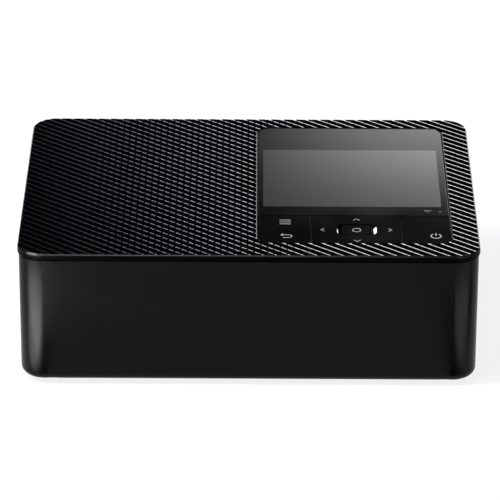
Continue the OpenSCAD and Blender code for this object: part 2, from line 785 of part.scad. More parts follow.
module centre_key() color("#151618") {
  translate([0, 0, key_z]) linear_extrude(key_t - 0.1)
    round_rect(about(pad_mid_x, ok_w / 2), about(key_mid_y, ok_l / 2), 2.4);
  post(pad_mid_x, key_mid_y, [key_board_top + dome_h + key_travel + 0.2, key_z + eps], 1.5);
}

module power_key() color("#101113") {
  key_plate([right_x0 + key_gap / 2, panel_x1 + 1]);
  post(power_mid_x, key_mid_y, [key_board_top + dome_h + key_travel + 0.2, key_z + eps], 1.5);
}

// ---------- electronics ----------

module main_board() color("#1c5030") {
  difference() {
    box(main_board_x, main_board_y, [main_board_z, main_board_top]);
    for (p = board_posts) post(p[0], p[1], [0, case_h], small_screw_r + 0.15);
  }
  translate([main_board_x[0], main_board_y[0], main_board_top - eps]) {
    for (q = board_parts) box(q[0], q[1], [0, q[2]]);
    for (q = board_cans) post(q[0], q[1], [0, 2.2], 1.8);
  }
}

module display_flex() color("#b8862c")
  box(flex_x, flex_y, about(lcd_top - lcd_t - 0.2, 0.1));

module card_board() color("#1c5030")
  difference() {
    union() {
      box([right_out + 1, in_x - 0.8], card_board_y, [card_board_z, card_board_top]);
      box([right_out + 1, right_out + 8], card_tab_y, [card_board_z, card_board_top]);
    }
    for (p = card_posts) post(p[0], p[1], [0, case_h], small_screw_r + 0.15);
  }

module card_socket() color("silver")
  difference() {
    box([right_out + 1.6, in_x - 0.5], about(card_y, socket_w / 2),
      [card_board_top, card_board_top + socket_h]);
    box([right_out + 2.6, in_x], about(card_y, card_slot_w / 2 - 0.2),
      [card_board_top + 0.8, card_board_top + socket_h - 0.6]);
  }

module usb_outline(u) {
  r = usb_h / 2 - u;
  for (s = [-1, 1]) translate([s * (usb_w / 2 - usb_h / 2), 0]) circle(r);
  square([usb_w - usb_h, 2 * r], center = true);
}

module usb_socket() color("silver") {
  x = [in_x - 6.4, in_x + 1];
  mid = card_board_top + usb_h / 2;
  translate([0, usb_y, mid]) across(x) difference() {
    usb_outline(0);
    usb_outline(0.3);
  }
  translate([0, usb_y, mid]) across([x[0], x[0] + 1]) usb_outline(0.2);
  translate([0, usb_y, mid]) across([x[0], x[1] - 0.6]) square([6.6, 0.7], center = true);
}

module power_board() color("#1c5030") {
  z = [power_board_z, power_board_z + board_t];
  difference() {
    union() {
      box(power_x, power_y, z);
      box(about(dc_x, jack_tab), [power_y[1] - 0.8, in_y - 1.8], z);
    }
    for (p = power_posts) post(p[0], p[1], [0, 40], small_screw_r + 0.15);
  }
  // Two capacitors and a choke
  for (y = [12, 21]) post(power_x[0] + 7, power_y[0] + y, [z[1] - eps, z[1] + 12], 4);
  box([power_x[0] + 14, power_x[0] + 22], [power_y[0] + 10, power_y[0] + 18],
    [z[1] - eps, z[1] + 5]);
}

module dc_jack() color("#121212") {
  jack_w = 9;
  jack_l = 13.4;
  jack_h = 2 * (dc_z - power_board_z - board_t);
  jack_gap = 0.2;
  bore_l = 9;
  contact_l = 9;
  contact_r = 0.9;
  top = power_board_z + board_t;
  difference() {
    box(about(dc_x, jack_w / 2), [in_y - jack_gap - jack_l, in_y - jack_gap], [top, top + jack_h]);
    translate([dc_x, in_y + 1, dc_z]) rotate([90, 0, 0]) cylinder(h = bore_l + 1, r = dc_r);
  }
  translate([dc_x, in_y - 1, dc_z]) rotate([90, 0, 0]) cylinder(h = contact_l, r = contact_r);
}

// ---------- chassis ----------

module plate_outline() {
  translate([bulkhead_y + bulkhead_t, floor_z])
    square([plate_y1 - bulkhead_y - bulkhead_t, plate_top - floor_z]);
}

module left_side_plate() color("#b9bcc0") {
  across([left_out, left_in]) difference() {
    plate_outline();
    for (a = left_bushes) circle_at(a, bush_hole_r);
  }
  for (y = left_tabs) tab([left_out - 8, left_out + eps], y, left_out - 4.2);
  bar(idler, [inner_x0 - 0.3, left_out + eps], stud_r);
  bar(cam, [outer_x0 - 0.5, left_out + eps], stud_r);
  for (a = spacers) bar(a, [bracket_in, left_out + eps], 2.4);
}

// Foot tab of a side plate, with its screw hole
module tab(x, y, hole_x) {
  difference() {
    box(x, [y, y + tab_l], [floor_z, floor_z + plate_t]);
    post(hole_x, y + tab_l / 2, [0, floor_z + 3], small_screw_r + 0.15);
  }
}

module right_side_plate() color("#b9bcc0") {
  across([right_in, right_out]) difference() {
    plate_outline();
    for (a = right_bushes) circle_at(a, bush_hole_r);
    translate([window_y[0], window_z[0]])
      square([window_y[1] - window_y[0], window_z[1] - window_z[0]]);
  }
  for (y = right_tabs) tab([right_out - eps, right_out + 8], y, right_out + 4.2);
  // Bracket of the ink lever: two flanges with the lever's bores
  for (z = [lever_z[0] - 0.3 - plate_t, lever_z[1] + 0.3]) difference() {
    box([right_in, lever_pivot[0] + 2.8], [window_y[0] - 2, lever_pivot[1] + 2.2],
      [z, z + plate_t]);
    post(lever_pivot[0], lever_pivot[1], [z - 1, z + plate_t + 1], pin_r + fit);
  }
}

module top_tie() color("#aeb1b5") {
  width = 12;
  drop = 7.4;
  y0 = bulkhead_y + bulkhead_t + 2.1;
  z = plate_top - 2.2;
  box([left_in, right_in], [y0, y0 + width], [z, z + plate_t]);
  box([left_in, right_in], [y0, y0 + plate_t], [z - drop, z + plate_t]);
}

module paper_guide() color("#2b2d31") {
  top = paper_z - 0.4;
  deck = top - 1.8;
  leg = 1.6;
  back = in_y - 3.2;
  gap = 0.6;
  c0 = capstan[0] - capstan_d / 2 - gap;
  c1 = capstan[0] + capstan_d / 2 + gap;
  p0 = platen[0] - platen_d / 2 - gap;
  p1 = platen[0] + platen_d / 2 + gap;
  front = c0 - 3.4;
  across([left_in + 0.2, right_in - 0.2]) {
    polygon([[front, floor_z], [front + leg, floor_z], [front + leg, deck - 1], [c0, deck],
      [c0, top], [front, deck - 0.4]]);
    for (s = [[c1, p0], [p1, back]]) {
      translate([s[0], deck]) square([s[1] - s[0], top - deck]);
      translate([s[0], floor_z]) square([leg, top - floor_z]);
      translate([s[1] - leg, floor_z]) square([leg, top - floor_z]);
    }
  }
  for (x = [left_in + 0.2, right_in - 0.2 - leg])
    box([x, x + leg], [front, back], [floor_z, floor_z + 8]);
}

module motor_bracket() color("#a9acb0") {
  across([bracket_out, bracket_in]) difference() {
    translate([bracket_y[0], floor_z])
      square([bracket_y[1] - bracket_y[0], plate_top - 1 - floor_z]);
    circle_at(motor, motor_boss_r + 0.1);
    for (a = [ribbon_motor, head_motor]) circle_at(a, small_boss_r + 0.1);
  }
  box([bracket_out - 5, bracket_out + eps], bracket_foot_y, [floor_z, floor_z + bracket_t]);
}

module shaft_bushes() color("#c08a3e") {
  for (a = left_bushes) bush(a, left_out, 1);
  for (a = right_bushes) bush(a, right_out, -1);
}

// Flanged bush in a side plate: its flange is on the paper side
module bush(a, x, s) {
  body = s > 0 ? [x, x + plate_t + eps] : [x - plate_t - eps, x];
  flange = s > 0 ? [x + plate_t, x + plate_t + bush_flange_t]
    : [x - plate_t - bush_flange_t, x - plate_t];
  difference() {
    union() {
      bar(a, body, bush_r);
      bar(a, flange, bush_flange_r);
    }
    bar(a, [x - 5, x + 5], shaft_r + fit);
  }
}

// ---------- paper drive ----------

module capstan_roller() color("#d0d2d6") {
  bar(capstan, [roll_x0, roll_x1], capstan_d / 2);
  bar(capstan, [outer_x0 - 0.6, shaft_end], shaft_r);
}

module capstan_gear() color("#e8e6de") {
  gear(capstan, drive_m, big_teeth, 0, [outer_x0, outer_x1], shaft_r + fit);
  gear(capstan, drive_m, small_teeth, 0, [inner_x0, inner_x1], shaft_r + fit);
  difference() {
    bar(capstan, [outer_x1 - eps, inner_x0 + eps], 5);
    bar(capstan, [outer_x1 - 1, inner_x0 + 1], shaft_r + fit);
  }
}

module pinch_roller() color("#c4c7cb") {
  bar(pinch, [roll_x0, roll_x1], capstan_d / 2);
  bar(pinch, [left_out - 0.6, shaft_end], shaft_r);
}

module pickup_shaft() color("#c4c7cb")
  bar(pickup, [inner_x0 - 0.3, shaft_end], shaft_r);

module pickup_roller() color("#2e2e30")
  difference() {
    bar(pickup, about(path_x, pickup_w / 2), pickup_d / 2);
    bar(pickup, about(path_x, pickup_w), shaft_r + fit);
  }

module pickup_gear() color("#e8e6de")
  gear(pickup, drive_m, pickup_teeth, mesh_turn(pickup_dir, 0, small_teeth, pickup_teeth),
    [inner_x0, inner_x1], shaft_r + fit);

module platen_shaft() color("#c4c7cb")
  bar(platen, [inner_x0 - 0.3, shaft_end], shaft_r);

module platen_roller() color("#343436")
  difference() {
    bar(platen, [roll_x0, roll_x1], platen_d / 2);
    bar(platen, [roll_x0 - 1, roll_x1 + 1], shaft_r + fit);
  }

module platen_gear() color("#e8e6de")
  gear(platen, drive_m, platen_teeth,
    mesh_turn(platen_dir, idler_turn, small_teeth, platen_teeth), [inner_x0, inner_x1],
    shaft_r + fit);

module idler_gear() color("#e8e6de")
  gear(idler, drive_m, small_teeth, idler_turn, [inner_x0, inner_x1], stud_r + fit);

// A motor on the outside of its bracket, with the bore that its pinion's shaft turns in
module motor_can(a, r, nose_r, bore) {
  difference() {
    union() {
      bar(a, [bracket_out - motor_l, bracket_out], r);
      bar(a, [bracket_out - eps, bracket_in], nose_r);
    }
    bar(a, [bracket_out - motor_bore, bracket_in + 1], bore);
  }
}

module drive_motor() color("#9a9da2") motor_can(motor, motor_r, motor_boss_r, motor_shaft_r + fit);

module motor_pinion() color("#d8b25a") {
  gear(motor, drive_m, pinion_teeth, mesh_turn(180, 0, big_teeth, pinion_teeth),
    [outer_x0, outer_x1], motor_shaft_r - 0.2);
  bar(motor, [bracket_out - motor_bore + 0.5, outer_x1], motor_shaft_r);
}

module small_motors() color("#b4b6ba") {
  for (a = [ribbon_motor, head_motor])
    motor_can(a, small_motor_r, small_boss_r, small_shaft_r + fit);
}

// ---------- ink ribbon ----------

module ribbon_pinion() color("#e8e6de") {
  gear(ribbon_motor, fine_m, pinion_teeth, mesh_turn(ribbon_dir, 0, ribbon_teeth, pinion_teeth),
    [outer_x0, outer_x1], small_shaft_r - 0.1);
  bar(ribbon_motor, [bracket_out - motor_bore + 0.5, outer_x1], small_shaft_r);
}

module ribbon_gear() color("#e8e6de") {
  gear(takeup, fine_m, ribbon_teeth, 0, [outer_x0, outer_x1], 1);
  bar(takeup, [outer_x0 - 0.5, cassette_x0 + dog_l], shaft_r);
}

// A spool: core, journals that turn in the cassette's cheeks, and the wound film
module spool(a, pack_r) {
  x = [cassette_x0 + 0.2, cassette_x1 - 0.2];
  bar(a, x, journal_r);
  bar(a, x + (cheek_t + 0.2) * [1, -1], core_r);
  bar(a, [film_x0, film_x1], pack_r);
}

module takeup_spool() color("#3b3d42") difference() {
  spool(takeup, 5.6);
  bar(takeup, [cassette_x0 - 1, cassette_x0 + dog_l + 0.4], shaft_r + fit);
}

module supply_spool() color("#c9b43c") spool(supply, 6.9);

module ink_cassette() color("#8d9198") {
  bottom = takeup[1] - housing_r;
  top = takeup[1] + housing_r;
  film_slot = 3.2;
  cut = housing_r - housing_wall - 4.6;
  difference() {
    union() {
      for (a = [supply, takeup]) bar(a, [cassette_x0, cassette_x1], housing_r);
      // Cheeks, low enough between the spools for the print head to come down
      for (x = [cassette_x0, cassette_x1 - cheek_t])
        box([x, x + cheek_t], [supply[0], takeup[0]], [bottom, top - cheek_drop]);
      // Grip outside the right side plate
      box([cassette_x1 - eps, grip_x1], [supply[0] - 5, takeup[0] + 5], [bottom + 1.1, top - 2.5]);
    }
    for (a = [supply, takeup]) {
      bar(a, [cassette_x0 + cheek_t, cassette_x1 - cheek_t], housing_r - housing_wall);
      bar(a, [cassette_x0 - 1, cassette_x1 - 0.1], journal_r + 0.1);
    }
    // Mouths that the film leaves and enters through
    for (m = [[supply[0] + cut - 1, 1], [takeup[0] - cut + 1, -1]])
      box([cassette_x0 + cheek_t, cassette_x1 - cheek_t],
        m[1] > 0 ? [m[0], m[0] + film_slot + 2] : [m[0] - film_slot - 2, m[0]],
        [bottom - 1, bottom + 3.8]);
    // Finger hollow of the grip
    box([right_out + 2.6, grip_x1 - 1.6], [supply[0] + 3, takeup[0] - 3],
      [bottom + 3, top]);
  }
}

module ink_ribbon() color("#2c2f60") {
  t = 0.1;
  low = paper_z + 0.4;
  high = supply[1] - 6.4;
  a = [supply[0] + 3.9, high];
  b = [supply[0] + 7.5, low];
  c = [takeup[0] - 7.5, low];
  d = [takeup[0] - 3.9, high];
  across([film_x0, film_x1])
    polygon([a, b, c, d, d + [0, 2 * t], c + [0, t], b + [0, t], a + [0, 2 * t]]);
}

// ---------- print head ----------

module head_bracket() color("#c2c5c9") {
  x0 = left_in + bush_flange_t + 0.2;
  x1 = right_in - bush_flange_t - 0.2;
  y0 = head_pivot[0] - 3.5;
  y1 = head_y + head_w / 2 - 0.5;
  z = [head_plate_z, head_plate_z + head_plate_t];
  difference() {
    box([x0, x1], [y0, y1], z);
    for (s = [-1, 1]) box(about(path_x + s * 26, 18), [y0 + 8, head_y - 7], z + [-1, 1]);
  }
  for (x = [[x0, x0 + head_plate_t], [x1 - head_plate_t, x1]]) across(x) difference() {
    union() {
      circle_at(head_pivot, 3.5);
      translate([y0, head_pivot[1]]) square([7, head_plate_z - head_pivot[1] + eps]);
    }
    circle_at(head_pivot, shaft_r + fit);
  }
}

module head_pivot_shaft() color("#c4c7cb") {
  lever_w = 2.6;
  x = [outer_x0 + 0.4, outer_x0 + 0.4 + lever_w];
  tip = cam[1] + cam_r + loose;
  bar(head_pivot, [x[0] - 0.2, shaft_end], shaft_r);
  across(x) {
    circle_at(head_pivot, 4);
    polygon([head_pivot + [0, 1.2], [cam[0] - 2, tip], [cam[0] + 2, tip], [cam[0] + 2, tip + 2],
      head_pivot + [0, 4]]);
  }
}

module heat_sink() color("#b6bac0") {
  fin_n = 4;
  slot = 1.2;
  difference() {
    box([film_x0, film_x1], about(head_y, head_w / 2), [sink_z, head_plate_z]);
    for (i = [0:fin_n - 1], s = [-1, 1])
      box([film_x0 - 1, film_x1 + 1], about(head_y + s * head_w / 2, 1.8),
        about(sink_z + 3.6 + i * 3.2, slot / 2));
  }
}

module thermal_head() color("#e6e2d6") {
  box([film_x0, film_x1], about(head_y, head_w / 2), [head_z + ridge_h, sink_z]);
  box([film_x0, film_x1], about(head_y + 0.3, ridge_w / 2),
    [head_z, head_z + ridge_h + eps]);
}

module head_pinion() color("#e8e6de") {
  gear(head_motor, fine_m, pinion_teeth, mesh_turn(head_dir, 0, cam_teeth, pinion_teeth),
    [inner_x0, inner_x1], small_shaft_r - 0.1);
  bar(head_motor, [bracket_out - motor_bore + 0.5, inner_x1], small_shaft_r);
}

module cam_gear() color("#e8e6de") {
  gear(cam, fine_m, cam_teeth, 0, [inner_x0, inner_x1], stud_r + fit);
  across([outer_x0, inner_x0 + eps]) difference() {
    translate(cam) polygon([for (a = [0:5:355])
      let (fall = a < cam_sweep ? a / cam_sweep : (360 - a) / (360 - cam_sweep))
      (cam_r - cam_lift * fall) * [cos(90 + a), sin(90 + a)]]);
    circle_at(cam, stud_r + fit);
  }
}

// ---------- small parts ----------

module ink_lever() color("#c9ccd0") {
  body_x1 = grip_x1 + 3;
  hook = 1.6;
  y = about(lever_pivot[1], 1.5);
  box([lever_pivot[0], body_x1], y, lever_z);
  post(lever_pivot[0], lever_pivot[1], lever_z, 2);
  // Hook in front of the cassette's grip
  box([grip_x1 + loose, body_x1 - 0.7], [y[0], supply[0] - 5 + hook], lever_z + [1, -1]);
  post(lever_pivot[0], lever_pivot[1], lever_z + [-1.2, 1.2], pin_r);
}

module case_screws() color("silver")
  for (p = posts) {
    post(p[0], p[1], [post_seat - 2.4, post_seat], post_head_r - 0.2);
    post(p[0], p[1], [post_seat - eps, post_top + 9], screw_r);
  }

// One small screw, its head up at z
module small_screw(x, y, z, l) {
  post(x, y, [z, z + 1.2], 1.8);
  post(x, y, [z - l, z + eps], small_screw_r);
}

module small_screws() color("silver") {
  for (p = plate_screws) small_screw(p[0], p[1], floor_z + plate_t, 2.6);
  for (p = card_posts) small_screw(p[0], p[1], card_board_top, 5);
  for (p = power_posts) small_screw(p[0], p[1], power_board_z + board_t, 4);
  for (p = board_posts) translate([p[0], p[1], main_board_z]) rotate([180, 0, 0])
    small_screw(0, 0, 0, 5);
  for (p = key_board_posts) translate([p[0], p[1], key_board_z]) rotate([180, 0, 0])
    small_screw(0, 0, 0, 3);
}

top_cover();
side_shell();
base_plate();
front_door();
front_door_pins();
ink_door();
ink_door_pins();
rubber_feet();
front_inner_panel();
panel_frame();
lcd_glass();
lcd_module();
key_board();
dome_switches();
left_key();
direction_pad();
pad_collar();
centre_key();
power_key();
main_board();
display_flex();
card_board();
card_socket();
usb_socket();
power_board();
dc_jack();
left_side_plate();
right_side_plate();
top_tie();
paper_guide();
motor_bracket();
shaft_bushes();
capstan_roller();
capstan_gear();
pinch_roller();
pickup_shaft();
pickup_roller();
pickup_gear();
platen_shaft();
platen_roller();
platen_gear();
idler_gear();
drive_motor();
motor_pinion();
small_motors();
ribbon_pinion();
ribbon_gear();
takeup_spool();
supply_spool();
ink_cassette();
ink_ribbon();
head_bracket();
head_pivot_shaft();
heat_sink();
thermal_head();
head_pinion();
cam_gear();
ink_lever();
case_screws();
small_screws();
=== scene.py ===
from math import ceil, cos, radians, sin

import bmesh
import bpy
from mathutils import Matrix, Vector


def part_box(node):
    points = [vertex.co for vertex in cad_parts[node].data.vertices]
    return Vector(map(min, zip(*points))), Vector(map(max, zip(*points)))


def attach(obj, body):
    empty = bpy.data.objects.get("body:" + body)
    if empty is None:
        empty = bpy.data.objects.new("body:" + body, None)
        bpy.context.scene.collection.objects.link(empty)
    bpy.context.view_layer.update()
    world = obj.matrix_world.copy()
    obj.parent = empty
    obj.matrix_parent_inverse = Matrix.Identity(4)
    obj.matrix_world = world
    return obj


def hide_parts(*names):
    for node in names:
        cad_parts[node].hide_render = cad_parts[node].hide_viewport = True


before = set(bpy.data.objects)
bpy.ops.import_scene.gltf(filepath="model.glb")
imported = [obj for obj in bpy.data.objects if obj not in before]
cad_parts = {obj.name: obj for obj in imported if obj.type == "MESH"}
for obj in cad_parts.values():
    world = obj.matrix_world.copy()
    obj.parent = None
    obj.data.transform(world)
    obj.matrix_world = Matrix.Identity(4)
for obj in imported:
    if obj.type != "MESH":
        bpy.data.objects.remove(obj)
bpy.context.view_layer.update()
MM = 0.001

# ---------- base and feet ----------
# The base is an injection-moulded ABS plate that the chassis and the boards are screwed to. Its
# coarse spark-eroded grain keeps it dull. Four rubber feet are pressed into its underside.


def colour(code):
    """A "#rrggbb" colour as linear RGBA."""
    parts = [int(code[i:i + 2], 16) / 255 for i in (1, 3, 5)]
    return (*[c / 12.92 if c <= 0.04045 else ((c + 0.055) / 1.055) ** 2.4 for c in parts], 1)


def add(tree, kind, inputs=None, **settings):
    """Adds a node with its settings. Each input is a constant, or another node's output to link."""
    node = tree.nodes.new(kind)
    for name, value in settings.items():
        setattr(node, name, value)
    for name, value in (inputs or {}).items():
        if isinstance(value, bpy.types.NodeSocket):
            tree.links.new(value, node.inputs[name])
        else:
            node.inputs[name].default_value = value
    return node


def blank_material(name):
    """A material with one Principled shader. Returns it, its tree, the shader and its mapping."""
    material = bpy.data.materials.new(name)
    material.use_nodes = True
    tree = material.node_tree
    tree.nodes.clear()
    shader = add(tree, "ShaderNodeBsdfPrincipled")
    add(tree, "ShaderNodeOutputMaterial", {"Surface": shader.outputs["BSDF"]})
    where = add(tree, "ShaderNodeTexCoord").outputs["Object"]
    return material, tree, shader, where


def moulded(name, code, roughness, grain, depth, specular=0.5, cloud=0.05):
    """Moulded plastic: an even colour, a spark-eroded grain and slow clouds in its sheen.
    grain is the width of a grain and depth its height, both in mm."""
    material, tree, shader, where = blank_material(name)
    dark = colour(code)
    light = [c * 1.25 for c in dark[:3]] + [1]
    cloud_width = 28 * MM
    clouds = add(tree, "ShaderNodeTexNoise", {
        "Vector": where, "Scale": 1 / cloud_width, "Detail": 3})
    sheen = add(tree, "ShaderNodeMapRange", {
        "Value": clouds.outputs["Fac"], "From Min": 0.3, "From Max": 0.7,
        "To Min": roughness - cloud, "To Max": roughness + cloud})
    pits = add(tree, "ShaderNodeTexNoise", {
        "Vector": where, "Scale": 1 / (grain * MM), "Detail": 2, "Roughness": 0.6})
    bump = add(tree, "ShaderNodeBump", {"Height": pits.outputs["Fac"], "Distance": depth * MM})
    tint = add(tree, "ShaderNodeMix", {
        "Factor": clouds.outputs["Fac"], 6: dark, 7: light}, data_type="RGBA")
    tree.links.new(tint.outputs[2], shader.inputs["Base Color"])
    tree.links.new(sheen.outputs["Result"], shader.inputs["Roughness"])
    tree.links.new(bump.outputs["Normal"], shader.inputs["Normal"])
    shader.inputs["IOR"].default_value = 1.5
    shader.inputs["Specular IOR Level"].default_value = specular
    return material


def finish(material, *names):
    """Gives CAD nodes their material."""
    for name in names:
        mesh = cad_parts[name].data
        mesh.materials.clear()
        mesh.materials.append(material)


def soften(width, *names, edge=None):
    """Breaks the sharp edges of CAD nodes by width mm, as a mould does. The broken edges take the
    material edge, where one is given."""
    for name in names:
        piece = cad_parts[name]
        weld = piece.modifiers.new("close the mesh", "WELD")
        weld.merge_threshold = 1e-6
        bevel = piece.modifiers.new("broken edges", "BEVEL")
        bevel.width = width * MM
        bevel.segments = 2
        bevel.limit_method = "ANGLE"
        bevel.angle_limit = radians(50)
        bevel.harden_normals = False
        if edge:
            piece.data.materials.append(edge)
            bevel.material = 1


coarse_abs = moulded("coarse ABS of the base", "#101112", 0.6, 0.5, 0.03, 0.3)
finish(coarse_abs, "base_plate")

# EPDM rubber, moulded matt: nearly black, with almost no shine.
foot_rubber = moulded("EPDM rubber of the feet", "#141414", 0.85, 0.35, 0.03, 0.25)
finish(foot_rubber, "rubber_feet")

# ---------- shell and doors ----------
# The shell is one ABS moulding round three sides. The front is a door of the same plastic that
# turns on two steel pins near its lower edge, and the ink door turns on two pins at the rear right.
# All of them have a fine satin grain, which blurs reflections into soft bands.

satin_abs = moulded("satin ABS of the case", "#040405", 0.26, 0.45, 0.005, 0.1)
finish(satin_abs, "side_shell", "front_door", "ink_door")
soften(0.25, "ink_door", "side_shell", "front_door")

# The mouldings inside are the same plastic with a rougher grain: dark grey, with little shine.
inner_abs = moulded("inner ABS", "#1c1d20", 0.5, 0.4, 0.02, 0.35)
finish(inner_abs, "front_inner_panel", "paper_guide", "panel_frame")


def metal(name, code, roughness, stretch, grain, depth):
    """Bare or plated metal. stretch is how far the finish is drawn out along X, Y and Z, and grain
    the width of one scratch in mm."""
    material, tree, shader, where = blank_material(name)
    light = colour(code)
    dark = [c * 0.82 for c in light[:3]] + [1]
    drawn = add(tree, "ShaderNodeMapping", {"Vector": where, "Scale": [1 / s for s in stretch]})
    lines = add(tree, "ShaderNodeTexNoise", {
        "Vector": drawn.outputs["Vector"], "Scale": 1 / (grain * MM), "Detail": 4})
    sheen = add(tree, "ShaderNodeMapRange", {
        "Value": lines.outputs["Fac"], "From Min": 0.35, "From Max": 0.65,
        "To Min": roughness * 0.75, "To Max": roughness * 1.25})
    bump = add(tree, "ShaderNodeBump", {"Height": lines.outputs["Fac"], "Distance": depth * MM})
    tint = add(tree, "ShaderNodeMix", {
        "Factor": lines.outputs["Fac"], 6: dark, 7: light}, data_type="RGBA")
    tree.links.new(tint.outputs[2], shader.inputs["Base Color"])
    tree.links.new(sheen.outputs["Result"], shader.inputs["Roughness"])
    tree.links.new(bump.outputs["Normal"], shader.inputs["Normal"])
    shader.inputs["Metallic"].default_value = 1
    return material


# Steel pin wire, ground and nickel plated: bright, with faint lines round it.
pin_steel = metal("nickel-plated pin steel", "#c9c7c0", 0.22, (0.2, 1, 1), 0.4, 0.002)
finish(pin_steel, "front_door_pins", "ink_door_pins")

# ---------- boards and sockets ----------
# The boards are glass-epoxy laminate with a green solder mask over copper tracks. The chips on them
# stand above the mask and are black epoxy. Socket shells are plated sheet, and the jack is nylon.


def circuit(name, top):
    """Solder mask over tracks, with gold pads. What stands higher than top is black epoxy."""
    material, tree, shader, where = blank_material(name)
    track_pitch = 2.2 * MM
    pad_pitch = 3.1 * MM
    mask_t = 0.2 * MM
    copper_t = 0.03 * MM
    track_share, pad_share = 0.06, 0.14
    tracks = add(tree, "ShaderNodeTexVoronoi", {"Vector": where, "Scale": 1 / track_pitch},
                 feature="DISTANCE_TO_EDGE", distance="EUCLIDEAN")
    on_track = add(tree, "ShaderNodeMath", {0: tracks.outputs["Distance"], 1: track_share},
                   operation="LESS_THAN")
    pads = add(tree, "ShaderNodeTexVoronoi", {"Vector": where, "Scale": 1 / pad_pitch})
    on_pad = add(tree, "ShaderNodeMath", {0: pads.outputs["Distance"], 1: pad_share},
                 operation="LESS_THAN")
    mask = add(tree, "ShaderNodeMix", {
        "Factor": on_track.outputs[0], 6: colour("#12452a"), 7: colour("#2a6a43")},
        data_type="RGBA")
    gold = add(tree, "ShaderNodeMix", {
        "Factor": on_pad.outputs[0], 6: mask.outputs[2], 7: colour("#c9a24a")}, data_type="RGBA")
    height = add(tree, "ShaderNodeSeparateXYZ", {"Vector": where})
    is_chip = add(tree, "ShaderNodeMath", {0: height.outputs["Z"], 1: top + mask_t},
                  operation="GREATER_THAN")
    shown = add(tree, "ShaderNodeMix", {
        "Factor": is_chip.outputs[0], 6: gold.outputs[2], 7: colour("#1a1b1c")}, data_type="RGBA")
    bump = add(tree, "ShaderNodeBump", {"Height": on_track.outputs[0], "Distance": copper_t})
    tree.links.new(shown.outputs[2], shader.inputs["Base Color"])
    tree.links.new(bump.outputs["Normal"], shader.inputs["Normal"])
    shader.inputs["Roughness"].default_value = 0.34
    return material


board_t = 1.6 * MM
for name in ("main_board", "key_board", "card_board", "power_board"):
    board_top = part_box(name)[0].z + board_t
    finish(circuit("solder mask of the " + name.replace("_", " "), board_top), name)

# Tin plating is bright but soft, so the shells carry faint marks. The jack's nylon is dull black.
socket_steel = metal("tin-plated socket steel", "#c4c4c0", 0.3, (1, 6, 1), 0.5, 0.004)
finish(socket_steel, "card_socket", "usb_socket")
jack_nylon = moulded("nylon of the jack", "#0e0e0f", 0.45, 0.4, 0.01, 0.4)
finish(jack_nylon, "dc_jack")

# Polyimide ribbon cable: clear amber film over copper tracks that run along X. Blender's wave makes
# about three bands in each unit of its scale, so the tracks lie about 2 mm apart, which is coarser
# than real ones, so that they show.
flex, tree, shader, where = blank_material("polyimide flex")
track_wave = 6.3 * MM
tracks = add(tree, "ShaderNodeTexWave", {"Vector": where, "Scale": 1 / track_wave},
             bands_direction="Y")
amber = add(tree, "ShaderNodeMix", {
    "Factor": tracks.outputs["Fac"], 6: colour("#a5661c"), 7: colour("#d79a45")}, data_type="RGBA")
tree.links.new(amber.outputs[2], shader.inputs["Base Color"])
shader.inputs["Roughness"].default_value = 0.25
finish(flex, "display_flex")

# ---------- chassis ----------
# Two zinc-coated steel plates carry every shaft in pressed bronze bushes. A tie and a motor bracket
# of the same sheet are screwed on. The zinc keeps the drawn lines of the rolling mill.

zinc_sheet = metal("zinc-coated sheet", "#b4b7ba", 0.34, (1, 9, 1), 0.6, 0.004)
finish(zinc_sheet, "left_side_plate", "right_side_plate", "motor_bracket", "ink_lever")
zinc_across = metal("zinc-coated sheet, rolled across", "#b4b7ba", 0.34, (9, 1, 1), 0.6, 0.004)
finish(zinc_across, "top_tie", "head_bracket")

# Sintered bronze is porous, so it is brown and has no sharp reflections.
bush_bronze = metal("sintered bronze", "#b88a4e", 0.42, (1, 1, 1), 0.3, 0.01)
finish(bush_bronze, "shaft_bushes")

# ---------- paper drive ----------
# Ground steel shafts carry rubber rollers. The gears are moulded in natural acetal, which is waxy
# white, and the drive motor is a drawn steel can with a brass pinion on its shaft.

# Ground steel is bright, with fine lines round the shaft.
shaft_steel = metal("ground shaft steel", "#cdced0", 0.16, (1, 12, 12), 0.5, 0.001)
finish(shaft_steel, "capstan_roller", "pinch_roller", "pickup_shaft", "platen_shaft",
       "head_pivot_shaft")

# The rubber is ground to size, which leaves it matt.
roller_rubber = moulded("ground roller rubber", "#242425", 0.75, 0.3, 0.02, 0.3)
finish(roller_rubber, "pickup_roller", "platen_roller")

# Acetal lets a little light in, which softens the shadows between the teeth.
acetal = moulded("natural acetal", "#e2dfd4", 0.36, 0.6, 0.004, 0.5, 0.04)
acetal_shader = acetal.node_tree.nodes["Principled BSDF"]
acetal_shader.inputs["Subsurface Weight"].default_value = 0.15
acetal_shader.inputs["Subsurface Radius"].default_value = (0.6 * MM, 0.5 * MM, 0.4 * MM)
acetal_shader.inputs["Subsurface Scale"].default_value = 1
finish(acetal, "capstan_gear", "pickup_gear", "platen_gear", "idler_gear", "ribbon_gear",
       "ribbon_pinion", "head_pinion", "cam_gear")

# The brass keeps the lines of the cutter round it, and the can those of the drawing press along it.
pinion_brass = metal("machined brass", "#d2ac5c", 0.26, (1, 5, 5), 0.3, 0.003)
finish(pinion_brass, "motor_pinion")
motor_steel = metal("drawn motor can", "#9fa1a4", 0.3, (6, 1, 1), 0.5, 0.003)
finish(motor_steel, "drive_motor", "small_motors")

# ---------- ink ribbon ----------
# The cassette is a grey polystyrene moulding with two spools in it. The dye film shines like any
# thin polyester film, and on the full spool its panels show as the yellow of the first dye.

cassette_styrene = moulded("grey polystyrene", "#868a91", 0.42, 0.4, 0.012, 0.5)
finish(cassette_styrene, "ink_cassette")
soften(0.3, "ink_cassette")


